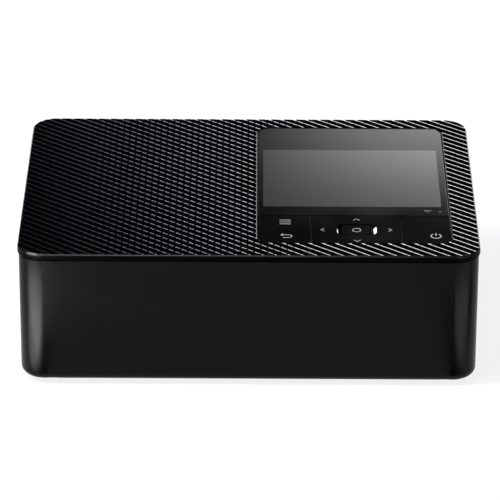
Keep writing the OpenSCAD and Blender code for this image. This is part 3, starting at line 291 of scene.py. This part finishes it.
def wound_film(name, dye, edge):
    """Dye film wound on a core: a glossy skin with the fine lines of its turns."""
    material, tree, shader, where = blank_material(name)
    cloud = 9 * MM
    line_h = 0.05 * MM
    squeeze = (14, 0.4, 0.4)  # makes lines 0.64 mm wide of the clouds
    drawn = add(tree, "ShaderNodeMapping", {"Vector": where, "Scale": squeeze})
    turns = add(tree, "ShaderNodeTexNoise", {
        "Vector": drawn.outputs["Vector"], "Scale": 1 / cloud, "Detail": 3})
    tint = add(tree, "ShaderNodeMix", {
        "Factor": turns.outputs["Fac"], 6: colour(dye), 7: colour(edge)}, data_type="RGBA")
    bump = add(tree, "ShaderNodeBump", {"Height": turns.outputs["Fac"], "Distance": line_h})
    tree.links.new(tint.outputs[2], shader.inputs["Base Color"])
    tree.links.new(bump.outputs["Normal"], shader.inputs["Normal"])
    shader.inputs["Roughness"].default_value = 0.2
    return material


finish(wound_film("unused yellow dye film", "#c8a018", "#e0c050"), "supply_spool")
finish(wound_film("used dye film", "#2c2a3e", "#55506a"), "takeup_spool")
finish(wound_film("dye film under the head", "#26305c", "#3c4c86"), "ink_ribbon")

# ---------- print head ----------
# The heat sink is an aluminium extrusion screwed under the bracket, which keeps the die's lines
# along X. The head is a strip of glazed alumina ceramic glued to it, white with a faint speckle.

sink_aluminium = metal("extruded aluminium", "#b9bcc2", 0.32, (12, 1, 1), 0.5, 0.004)
finish(sink_aluminium, "heat_sink")
head_ceramic = moulded("glazed alumina", "#e4e0d4", 0.18, 0.5, 0.002, 0.6, 0.03)
finish(head_ceramic, "thermal_head")

# ---------- screws ----------
# Self-tapping screws of zinc-plated steel hold the cover, the plates and the boards. The plating is
# an even grey-white, with a slight grain.

screw_steel = metal("zinc-plated screw steel", "#b9bab6", 0.3, (1, 1, 4), 0.3, 0.004)
finish(screw_steel, "case_screws", "small_screws")

# ---------- top cover ----------
# The cover is one ABS moulding. Its rim and its small edge radius are polished, so they draw a thin
# light line along the front, and the skirt below them is left dull.

cover_low, cover_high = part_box("top_cover")
case_w = cover_high.x - cover_low.x
case_d = cover_high.y - cover_low.y
case_top = cover_high.z
skirt_h = 2.6 * MM
skirt_t = 3 * MM
cover_r = 10 * MM
edge_radius = 0.5 * MM
inner_radius = 0.2 * MM
rim_z = case_top - 0.22 * MM
field_margin = 0.52 * MM
panel_margin = 0.35 * MM
recess = 0.3 * MM
panel_x = (3.1 * MM, 80.4 * MM)
panel_y = (-54.6 * MM, 57.3 * MM)
panel_r = 5.5 * MM
wall = 2.2 * MM
arc_steps = 14


def outline(x, y, radii, z, inset=0.0):
    """A rounded rectangle as a loop of points. radii start at the low X, low Y corner and go round
    anticlockwise."""
    corners = [(x[0], y[0], 180), (x[1], y[0], 270), (x[1], y[1], 0), (x[0], y[1], 90)]
    points = []
    for (cx, cy, start), corner_r in zip(corners, radii):
        r = max(corner_r - inset, 0.02 * MM)
        mid_x = cx + (r + inset) * (1 if cx == x[0] else -1)
        mid_y = cy + (r + inset) * (1 if cy == y[0] else -1)
        for k in range(arc_steps + 1):
            a = radians(start + 90 * k / arc_steps)
            points.append(Vector((mid_x + r * cos(a), mid_y + r * sin(a), z)))
    return points


def case_loop(inset, z):
    return outline((-case_w / 2, case_w / 2), (-case_d / 2, case_d / 2), [cover_r] * 4, z, inset)


def opening_loop(outset, z):
    """A loop round the opening for the control panel, outset beyond it."""
    return outline(panel_x, panel_y, [panel_r] * 4, z, -outset)


def mesh_piece(name, shape, body, material):
    """Makes a piece from a bmesh, in metres in the row frame."""
    bmesh.ops.recalc_face_normals(shape, faces=shape.faces)
    mesh = bpy.data.meshes.new(name)
    shape.to_mesh(mesh)
    shape.free()
    piece = bpy.data.objects.new(name, mesh)
    bpy.context.scene.collection.objects.link(piece)
    mesh.materials.append(material)
    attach(piece, body)
    return piece


def skin(shape, loops, closed):
    """Bridges loops of equal length, one to the next. closed joins the last to the first, and
    otherwise both ends are capped."""
    rows = [[shape.verts.new(p) for p in loop] for loop in loops]
    n = len(rows[0])
    pairs = list(zip(rows, rows[1:]))
    if closed:
        pairs.append((rows[-1], rows[0]))
    for one, two in pairs:
        for i in range(n):
            shape.faces.new((one[i], one[(i + 1) % n], two[(i + 1) % n], two[i]))
    if not closed:
        shape.faces.new(rows[0])
        shape.faces.new(rows[-1])


def edge_arc(loop, radius, top, steps=5):
    """Loops of a rounded edge, from the wall up on to the face."""
    angles = [radians(90 * k / steps) for k in range(steps + 1)]
    return [loop(radius * (1 - cos(a)), top - radius * (1 - sin(a))) for a in angles]


# The mould is polished for the rim and the bevels, which mirror the lights softly. The skirt's is
# blasted, so that it stays black below the rim's light line.
gloss_abs = moulded("high-gloss ABS of the cover", "#050506", 0.16, 0.5, 0.0012, 0.45, 0.02)
dull_abs = moulded("dull ABS of the skirt", "#030304", 0.4, 0.4, 0.006, 0.01)
cover = bmesh.new()
skin(cover, [case_loop(0, case_top - skirt_h), *edge_arc(case_loop, edge_radius, rim_z),
             case_loop(field_margin, rim_z), case_loop(field_margin, rim_z - recess),
             opening_loop(panel_margin, rim_z - recess), opening_loop(panel_margin, rim_z),
             *reversed(edge_arc(opening_loop, inner_radius, rim_z)),
             opening_loop(0, case_top - wall), case_loop(skirt_t, case_top - wall),
             case_loop(skirt_t, case_top - skirt_h)], closed=True)
cover_piece = mesh_piece("cover_moulding", cover, "case", gloss_abs)
cover_piece.data.materials.append(dull_abs)
flat, upright = 0.999, 0.1
for face in cover_piece.data.polygons:
    face.use_smooth = abs(face.normal.z) < flat
    if abs(face.normal.z) < upright and face.center.z < rim_z - recess:
        face.material_index = 1
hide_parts("top_cover")

# ---------- diamond pattern ----------
# The cover's field is pressed with diamonds, 5.2 by 4.3 mm. Each has a flat top, etched dull black,
# one wide polished bevel that slopes down towards the rear right corner, and three narrow ones.

# The bevels' widths are shares of a side. The ends of the wide bevel are etched too, so that the
# bevels of a row read as dashes. Near the left and right edges of the cover, outside dash_x, the
# etched ends are short, and the dashes run together into lines.
diamond_x = 5.208 * MM
diamond_y = 4.31 * MM
diamond_h = 0.19 * MM
wide_bevel = 0.3
narrow_bevel = 0.05
dash_x = (-75 * MM, -50 * MM, 5 * MM, 30 * MM)
long_end = 0.14
short_end = 0.03
seat = 0.02 * MM
field_base = rim_z - recess - seat


def grid_lines(half, step):
    """The numbers of the lines, step apart, that cross a field half to each side of its middle."""
    return range(-ceil(half / step) - 1, ceil(half / step) + 2)


field = bmesh.new()
corners = {}


def corner(i, j):
    """The valley point at half-step i along X and j along Y."""
    if (i, j) not in corners:
        low_z = case_top - diamond_h
        corners[i, j] = field.verts.new((i * diamond_x / 2, j * diamond_y / 2, low_z))
    return corners[i, j]


def dash_end(i):
    """How much of each end of a wide bevel is etched, as a share of its length."""
    x = i * diamond_x / 2
    rise = (x - dash_x[0]) / (dash_x[1] - dash_x[0])
    fall = (dash_x[3] - x) / (dash_x[3] - dash_x[2])
    return short_end + (long_end - short_end) * max(0, min(1, rise, fall))


def valley(i, j):
    """The two points on the rear right line of cell i, j between which its bevel is polished."""
    if (i, j, 0) not in corners:
        start, stop = corner(i + 1, j).co, corner(i, j + 1).co
        for k, share in enumerate((dash_end(i), 1 - dash_end(i))):
            corners[i, j, k] = field.verts.new(start.lerp(stop, share))
    return corners[i, j, 0], corners[i, j, 1]


for i in grid_lines(case_w / 2, diamond_x / 2):
    for j in grid_lines(case_d / 2, diamond_y / 2):
        if (i + j) % 2 == 0:
            continue
        east, north = corner(i + 1, j), corner(i, j + 1)
        west, south = corner(i - 1, j), corner(i, j - 1)
        right_up, right_down = north.co - west.co, south.co - west.co
        end = dash_end(i)
        brink = []
        for up, down in ((1 - wide_bevel, 1 - end), (1 - wide_bevel, end),
                         (narrow_bevel, end), (narrow_bevel, 1 - end)):
            place = west.co + up * right_up + down * right_down
            brink.append(field.verts.new((place.x, place.y, case_top)))
        near_east, near_north = valley(i, j)
        near_south, near_west = valley(i - 1, j - 1)
        field.faces.new((brink[0], near_east, near_north, brink[1]))
        for points in ((brink[0], east, near_east), (brink[1], near_north, north),
                       (brink[1], north, west, brink[2]), (brink[3], south, east, brink[0]),
                       (brink[2], west, near_west, near_south, south, brink[3]), brink):
            field.faces.new(points).material_index = 1
under = bmesh.ops.extrude_face_region(field, geom=list(field.faces))
for v in under["geom"]:
    if isinstance(v, bmesh.types.BMVert):
        v.co.z = field_base

# The etch leaves fine pits that reflect almost nothing.
etched_abs = moulded("etched ABS of the diamond tops", "#020203", 0.6, 0.3, 0.004, 0.0)
diamonds = mesh_piece("cover_diamonds", field, "case", gloss_abs)
diamonds.data.materials.append(etched_abs)

frame_cut = bmesh.new()
slack = 0.01 * MM
edge_in = field_margin + slack
edge_out = panel_margin + slack
skin(frame_cut, [case_loop(edge_in, field_base - MM), case_loop(edge_in, case_top + MM),
                 opening_loop(edge_out, case_top + MM), opening_loop(edge_out, field_base - MM)],
     closed=True)
cutter = mesh_piece("field_cutter", frame_cut, "case", gloss_abs)
trim = diamonds.modifiers.new("trim to the rim", "BOOLEAN")
trim.operation = "INTERSECT"
trim.solver = "EXACT"
trim.object = cutter
depsgraph = bpy.context.evaluated_depsgraph_get()
trimmed = bpy.data.meshes.new_from_object(diamonds.evaluated_get(depsgraph))
diamonds.modifiers.clear()
diamonds.data = trimmed
bpy.data.objects.remove(cutter)

# ---------- control panel ----------
# A tinted acrylic pane is glued over the display. Its border is printed black on the back, so the
# display shows as a slightly lighter window. The keys below are high-gloss ABS caps.

glass_low, glass_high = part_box("lcd_glass")
window_x = (5.65 * MM, 77.15 * MM)
window_y = (-20.5 * MM, 35 * MM)
glass_edge = 0.2 * MM
sharp_r = 0.5 * MM
round_r = panel_r - 0.4 * MM


def glass_loop(inset, z):
    return outline((glass_low.x, glass_high.x), (glass_low.y, glass_high.y),
                   [sharp_r, sharp_r, round_r, round_r], z, inset)


def window_loop(z):
    return outline(window_x, window_y, [sharp_r] * 4, z)


# Cast acrylic is almost a mirror, with slight waves about 3 mm long.
acrylic_black = moulded("acrylic over black print", "#040404", 0.09, 3, 0.0008, 0.22, 0.02)
border = bmesh.new()
skin(border, [glass_loop(0, glass_low.z), *edge_arc(glass_loop, glass_edge, glass_high.z, 3),
              window_loop(glass_high.z), window_loop(glass_low.z)], closed=True)
border_piece = mesh_piece("glass_border", border, "case", acrylic_black)
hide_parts("lcd_glass")

# Behind the clear window the display's satin polariser adds a blurred reflection of its own to the
# sharp one of the acrylic, which is drawn as a clear coat.
acrylic_clear = moulded("acrylic over the display", "#10100f", 0.3, 3, 0.0008, 0.22, 0.02)
clear_shader = acrylic_clear.node_tree.nodes["Principled BSDF"]
clear_shader.inputs["Coat Weight"].default_value = 1
clear_shader.inputs["Coat Roughness"].default_value = 0.07
clear_shader.inputs["Coat IOR"].default_value = 1.3
window = bmesh.new()
skin(window, [window_loop(glass_low.z), window_loop(glass_high.z)], closed=False)
mesh_piece("display_window", window, "case", acrylic_clear)

# The display module is a stack of glass and film, dark grey and satin.
lcd_stack = moulded("display stack", "#2a2c30", 0.3, 0.6, 0.002, 0.5)
finish(lcd_stack, "lcd_module")

# The caps come from a lapped mould, so they mirror the lights like the glass.
key_abs = moulded("high-gloss ABS of the keys", "#050506", 0.07, 1.5, 0.0004, 0.2, 0.02)
finish(key_abs, "left_key", "direction_pad", "power_key", "centre_key")
soften(0.16, "direction_pad", "centre_key")

# The edges of the two outer keys are buffed to a gloss. Their colour is painted lighter than the
# caps' as a highlight, which adds to the lamps' real reflection in their thin bright line.
painted_highlight_abs = moulded("gloss ABS lightened as a painted highlight", "#242426", 0.14, 1.5, 0.0004, 1.0, 0.02)
painted_highlight_abs.node_tree.nodes["Principled BSDF"].inputs["Coat Weight"].default_value = 1
soften(0.45, "left_key", "power_key", edge=painted_highlight_abs)

key_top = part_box("left_key")[1].z
pad_middle_x = 42.7 * MM
well_half = 8 * MM
well_y = (-45.6 * MM, -38.6 * MM)
well_floor = key_top - 0.9 * MM
slope_top = key_top - 0.12 * MM
slope_foot = 0.06 * MM


def recess_end(name, side, reach, steps):
    """The polished slope at one end of the recess round the centre key, moulded on the pad. It is
    hollow where it has more than one step."""
    wall_x = pad_middle_x + side * well_half
    drop = slope_top - well_floor - slope_foot
    profile = [(wall_x, well_floor)]
    for k in range(steps + 1):
        a = radians(90 * k / steps)
        profile.append((wall_x - side * reach * (1 - cos(a)), slope_top - drop * sin(a)))
    profile.append((wall_x - side * reach, well_floor))
    shape = bmesh.new()
    skin(shape, [[Vector((x, y, z)) for x, z in profile] for y in well_y], closed=False)
    mesh_piece(name, shape, "direction_pad_body", painted_highlight_abs)


# The slopes take the key edges' gloss and their lighter colour, a painted highlight on top of the
# real reflection.
recess_end("recess_end_left", -1, 0.7 * MM, 8)
recess_end("recess_end_right", 1, 1.25 * MM, 1)

# The collar's silicone is soft and dull, and the domes under the keys are rolled spring steel.
collar_silicone = moulded("grey silicone", "#3c3c3e", 0.6, 0.4, 0.01, 0.4)
finish(collar_silicone, "pad_collar")
dome_steel = metal("spring steel domes", "#c0c0bc", 0.25, (1, 1, 1), 0.4, 0.002)
finish(dome_steel, "dome_switches")

# ---------- printed symbols ----------
# Pad-printed on the keys and on the glass: plain signs for menu, back, the four directions, power
# and wireless, in lines 0.13 to 0.34 mm wide. The grey ink dries thin and matt.

ink = moulded("grey pad-printing ink", "#a3a6aa", 0.5, 0.3, 0.002, 0.4)
ink_t = 0.03 * MM
line_w = 0.26 * MM
bar_w = 0.27 * MM
chevron_w = 0.2 * MM
ring_w = 0.24 * MM
power_w = 0.34 * MM
fine_w = 0.13 * MM
mitre_limit = 0.4


def printed_line(shape, points, z, width):
    """One line of ink through points given in mm."""
    path = [Vector((x, y)) * MM for x, y in points]
    last = len(path) - 1
    left, right = [], []
    for i, p in enumerate(path):
        before = path[i - 1] if i > 0 else p
        after = path[i + 1] if i < last else p
        one = (p - before).normalized() if p != before else (after - p).normalized()
        two = (after - p).normalized() if p != after else one
        side = Vector((-(one + two).y, (one + two).x)).normalized()
        reach = width / 2 / max(mitre_limit, side.dot(Vector((-one.y, one.x))))
        left.append(p + side * reach)
        right.append(p - side * reach)
    for i in range(last):
        quad = [left[i], right[i], right[i + 1], left[i + 1]]
        low = [shape.verts.new((*q, z)) for q in quad]
        high = [shape.verts.new((*q, z + ink_t)) for q in quad]
        shape.faces.new(low[::-1])
        shape.faces.new(high)
        for m in range(4):
            shape.faces.new((low[m], low[(m + 1) % 4], high[(m + 1) % 4], high[m]))


def arc(cx, cy, r, start, end, steps=24):
    angles = [radians(start + (end - start) * k / steps) for k in range(steps + 1)]
    return [(cx + r * cos(a), cy + r * sin(a)) for a in angles]


def symbol(name, lines, body, z, width):
    shape = bmesh.new()
    for points in lines:
        printed_line(shape, points, z, width)
    mesh_piece(name, shape, body, ink)


def chevron(x, y, turn, size=1.3):
    """A mark that points along turn, in degrees."""
    a = radians(turn)
    depth = size * 0.55
    tips = [(-depth, size), (depth, 0), (-depth, -size)]
    return [[(x + u * cos(a) - v * sin(a), y + u * sin(a) + v * cos(a)) for u, v in tips]]


menu_x, menu_y = 14.4, -35.0
bar_half, bar_step = 2.2, 1.8
symbol("menu_sign", [[(menu_x - bar_half, menu_y + d), (menu_x + bar_half, menu_y + d)]
                     for d in (-bar_step, 0, bar_step)], "left_key_body", key_top, bar_w)

back_x, back_y = 14.65, -48.0
shaft = [(back_x - 2.0, back_y + 1.1), (back_x + 1.0, back_y + 1.1),
         *arc(back_x + 1.0, back_y - 0.2, 1.3, 90, -90, 12), (back_x - 1.2, back_y - 1.5)]
head = [(back_x - 1.2, back_y + 2.0), (back_x - 2.0, back_y + 1.1), (back_x - 1.2, back_y + 0.2)]
symbol("back_sign", [shaft, head], "left_key_body", key_top, line_w)

pad_sign_x, pad_sign_y = 42.7, -42.1
ring_r = 1.6
for name, x, y, turn in (
        ("up_sign", 42.8, -32.5, 90), ("down_sign", 42.8, -52.1, -90),
        ("left_sign", 29.15, pad_sign_y, 180), ("right_sign", 56.0, pad_sign_y, 0)):
    symbol(name, chevron(x, y, turn), "direction_pad_body", key_top, chevron_w)
centre_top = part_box("centre_key")[1].z
symbol("confirm_sign", [arc(pad_sign_x, pad_sign_y, ring_r, 0, 360)],
       "centre_key_body", centre_top, ring_w)

power_x, power_y, power_r = 74.0, -47.5, 2.0
symbol("power_sign", [arc(power_x, power_y, power_r, 125, 415),
                      [(power_x, power_y + 0.4), (power_x, power_y + 2.6)]],
       "power_key_body", key_top, power_w)

radio_x, radio_y = 71.65, -26.2
symbol("wireless_sign", [arc(radio_x, radio_y, r, 50, 130, 10) for r in (1.2, 2.5)],
       "case", glass_high.z, fine_w)
symbol("lamp_dash", [[(75.9, -25.0), (77.1, -25.0)]], "case", glass_high.z, fine_w)

# ---------- stage ----------
# The printer stands on a pale floor that reads white and keeps the printer's soft shadow. Two area
# lamps light it from above, and luminous panels round it give its glossy parts their reflections.

white_share = 0.85
world_level = 0.03
floor_mesh = bpy.data.meshes.new("floor")
far = 12.0
floor_mesh.from_pydata([(-far, -far, 0), (far, -far, 0), (far, far, 0), (-far, far, 0)],
                       [], [(0, 1, 2, 3)])
floor = bpy.data.objects.new("floor", floor_mesh)
bpy.context.scene.collection.objects.link(floor)
floor_paint = bpy.data.materials.new("pale floor")
floor_paint.use_nodes = True
tree = floor_paint.node_tree
tree.nodes.clear()
lit = add(tree, "ShaderNodeBsdfDiffuse", {"Color": colour("#f2f2f2")})
white = add(tree, "ShaderNodeEmission", {"Color": (1, 1, 1, 1), "Strength": 1})
rays = add(tree, "ShaderNodeLightPath")
seen = add(tree, "ShaderNodeMath", {
    0: rays.outputs["Is Camera Ray"], 1: rays.outputs["Is Glossy Ray"]}, operation="MAXIMUM")
seen = add(tree, "ShaderNodeMath", {0: seen.outputs[0], 1: rays.outputs["Is Transmission Ray"]},
           operation="MAXIMUM")
share = add(tree, "ShaderNodeMath", {0: seen.outputs[0], 1: white_share}, operation="MULTIPLY")
paint = add(tree, "ShaderNodeMixShader", {
    0: share.outputs[0], 1: lit.outputs["BSDF"], 2: white.outputs["Emission"]})
add(tree, "ShaderNodeOutputMaterial", {"Surface": paint.outputs["Shader"]})
floor_mesh.materials.append(floor_paint)

world = bpy.data.worlds.new("studio")
bpy.context.scene.world = world
world.use_nodes = True
background = world.node_tree.nodes["Background"]
background.inputs["Color"].default_value = colour("#ffffff")
background.inputs["Strength"].default_value = world_level


def softbox(name, place, target, size, power):
    """An area lamp in metres and watts, turned to face target."""
    lamp = bpy.data.lights.new(name, "AREA")
    lamp.shape = "RECTANGLE"
    lamp.size, lamp.size_y = size
    lamp.energy = power
    holder = bpy.data.objects.new(name, lamp)
    bpy.context.scene.collection.objects.link(holder)
    holder.location = place
    holder.rotation_euler = (Vector(target) - Vector(place)).to_track_quat("-Z", "Y").to_euler()


softbox("overhead", place=(-0.45, -0.2, 1.3), target=(0, 0, 0), size=(0.9, 1.1), power=19)
softbox("left strip", place=(-0.68, -0.2, 0.9), target=(-0.09, -0.06, 0.05), size=(0.2, 0.7),
        power=15)


def glow_panel(name, low, high, mirrored_only=False):
    """A luminous rectangle between two corners, which the camera doesn't see. Returns its node
    tree, its shader and the place of a point on it."""
    mesh = bpy.data.meshes.new(name)
    mesh.from_pydata([low, (high[0], *low[1:]), high, (low[0], *high[1:])], [], [(0, 1, 2, 3)])
    panel = bpy.data.objects.new(name, mesh)
    bpy.context.scene.collection.objects.link(panel)
    panel.visible_camera = False
    panel.visible_diffuse = panel.visible_shadow = not mirrored_only
    light = bpy.data.materials.new(name)
    light.use_nodes = True
    mesh.materials.append(light)
    tree = light.node_tree
    tree.nodes.clear()
    place = add(tree, "ShaderNodeSeparateXYZ", {
        "Vector": add(tree, "ShaderNodeTexCoord").outputs["Object"]})
    shine = add(tree, "ShaderNodeEmission")
    add(tree, "ShaderNodeOutputMaterial", {"Surface": shine.outputs["Emission"]})
    return tree, shine, place


# Two softboxes stand behind the printer, one above the other, and both fade towards the left. The
# upper one also fades towards its top, and it grades the glass.
glow_y = 1.0
glow_right = 0.7
glow_split = 0.36
upper_level = 3.3
tree, shine, place = glow_panel(
    "upper back softbox", (-0.12, glow_y, glow_split), (glow_right, glow_y, 0.56))
from_left = add(tree, "ShaderNodeMapRange", {
    "Value": place.outputs["X"], "From Min": -0.045, "From Max": 0.15},
    interpolation_type="SMOOTHSTEP")
from_top = add(tree, "ShaderNodeMapRange", {
    "Value": place.outputs["Z"], "From Min": 0.54, "From Max": 0.455},
    interpolation_type="SMOOTHSTEP")
both = add(tree, "ShaderNodeMath", {
    0: from_left.outputs["Result"], 1: from_top.outputs["Result"]}, operation="MULTIPLY")
level = add(tree, "ShaderNodeMath", {0: both.outputs[0], 1: upper_level}, operation="MULTIPLY")
tree.links.new(level.outputs[0], shine.inputs["Strength"])

# The lower one lights the wide bevels. Its fade leans to the right with height, and the faint end
# is a little blue.
lower_level = 5.5
lower_lean = -0.9
lean_start = 0.192
tree, shine, place = glow_panel(
    "lower back softbox", (-0.16, glow_y, 0.06), (glow_right, glow_y, glow_split))
slant = add(tree, "ShaderNodeMath", {0: place.outputs["Z"], 1: lower_lean, 2: lean_start},
            operation="MULTIPLY_ADD")
across = add(tree, "ShaderNodeMath", {0: place.outputs["X"], 1: slant.outputs[0]}, operation="ADD")
from_left = add(tree, "ShaderNodeMapRange", {
    "Value": across.outputs[0], "From Min": -0.075, "From Max": 0.17},
    interpolation_type="SMOOTHSTEP")
level = add(tree, "ShaderNodeMath", {0: from_left.outputs["Result"], 1: lower_level},
            operation="MULTIPLY")
cool = add(tree, "ShaderNodeMix", {
    "Factor": from_left.outputs["Result"], 6: colour("#d6e0f2"), 7: colour("#ffffff")},
    data_type="RGBA")
tree.links.new(cool.outputs[2], shine.inputs["Color"])
tree.links.new(level.outputs[0], shine.inputs["Strength"])

# A small square light stands behind the printer at the left. Only edges and hollows that face left
# mirror it.
left_level = 8
tree, shine, place = glow_panel(
    "left back light", (-0.44, glow_y, 0.22), (-0.31, glow_y, 0.35))
shine.inputs["Strength"].default_value = left_level

# A low panel lies just above the floor at each front corner, the left one far brighter. The case's
# corners and the rim mirror them. Each fades towards the middle and towards the rear, along a line
# that leans forward on its way out.
panel_z = 0.003
rear_lean = 0.33
rear_start = -0.0356
middle_start = -0.0905
middle_lean = 0.1
for side, strength in ((-1, 19), (1, 3.4)):
    tree, shine, place = glow_panel(
        "low panel", (side * 0.08, -0.34, panel_z), (side * 0.3, -0.068, panel_z),
        mirrored_only=True)
    rear_line = add(tree, "ShaderNodeMath", {
        0: place.outputs["X"], 1: -side * rear_lean, 2: rear_start}, operation="MULTIPLY_ADD")
    ahead = add(tree, "ShaderNodeMath", {0: rear_line.outputs[0], 1: place.outputs["Y"]},
                operation="SUBTRACT")
    rear_fade = add(tree, "ShaderNodeMapRange", {
        "Value": ahead.outputs[0], "From Min": -0.02, "From Max": 0.035},
        interpolation_type="SMOOTHSTEP")
    outward = add(tree, "ShaderNodeMath", {0: place.outputs["X"], 1: side, 2: middle_start},
                  operation="MULTIPLY_ADD")
    beyond = add(tree, "ShaderNodeMath", {
        0: place.outputs["Y"], 1: middle_lean, 2: outward.outputs[0]}, operation="MULTIPLY_ADD")
    middle_fade = add(tree, "ShaderNodeMapRange", {
        "Value": beyond.outputs[0], "From Min": -0.016, "From Max": 0.0},
        interpolation_type="SMOOTHSTEP")
    both = add(tree, "ShaderNodeMath", {
        0: rear_fade.outputs["Result"], 1: middle_fade.outputs["Result"]}, operation="MULTIPLY")
    level = add(tree, "ShaderNodeMath", {0: both.outputs[0], 1: strength}, operation="MULTIPLY")
    tree.links.new(level.outputs[0], shine.inputs["Strength"])

# ---------- camera ----------
# The camera has a long lens and stands straight in front of the printer, 1.5 m away, looking down
# by about 26 degrees. The small yaw and roll are those of the photograph.

elevation = radians(25.666)
yaw = radians(0.092)
roll = radians(0.238)
distance = 1.52908
aim = Vector((0.36, 0, 28.0)) * MM
back = Vector((sin(yaw) * cos(elevation), -cos(yaw) * cos(elevation), sin(elevation)))
camera_data = bpy.data.cameras.new("camera")
camera_data.sensor_width = 36
camera_data.lens = 268.4
camera = bpy.data.objects.new("camera", camera_data)
bpy.context.scene.collection.objects.link(camera)
turn = (-back).to_track_quat("-Z", "Y") @ Matrix.Rotation(roll, 3, "Z").to_quaternion()
camera.rotation_mode = "QUATERNION"
camera.rotation_quaternion = turn
camera.location = aim + back * distance
bpy.context.scene.camera = camera
bpy.context.scene.view_settings.view_transform = "Standard"
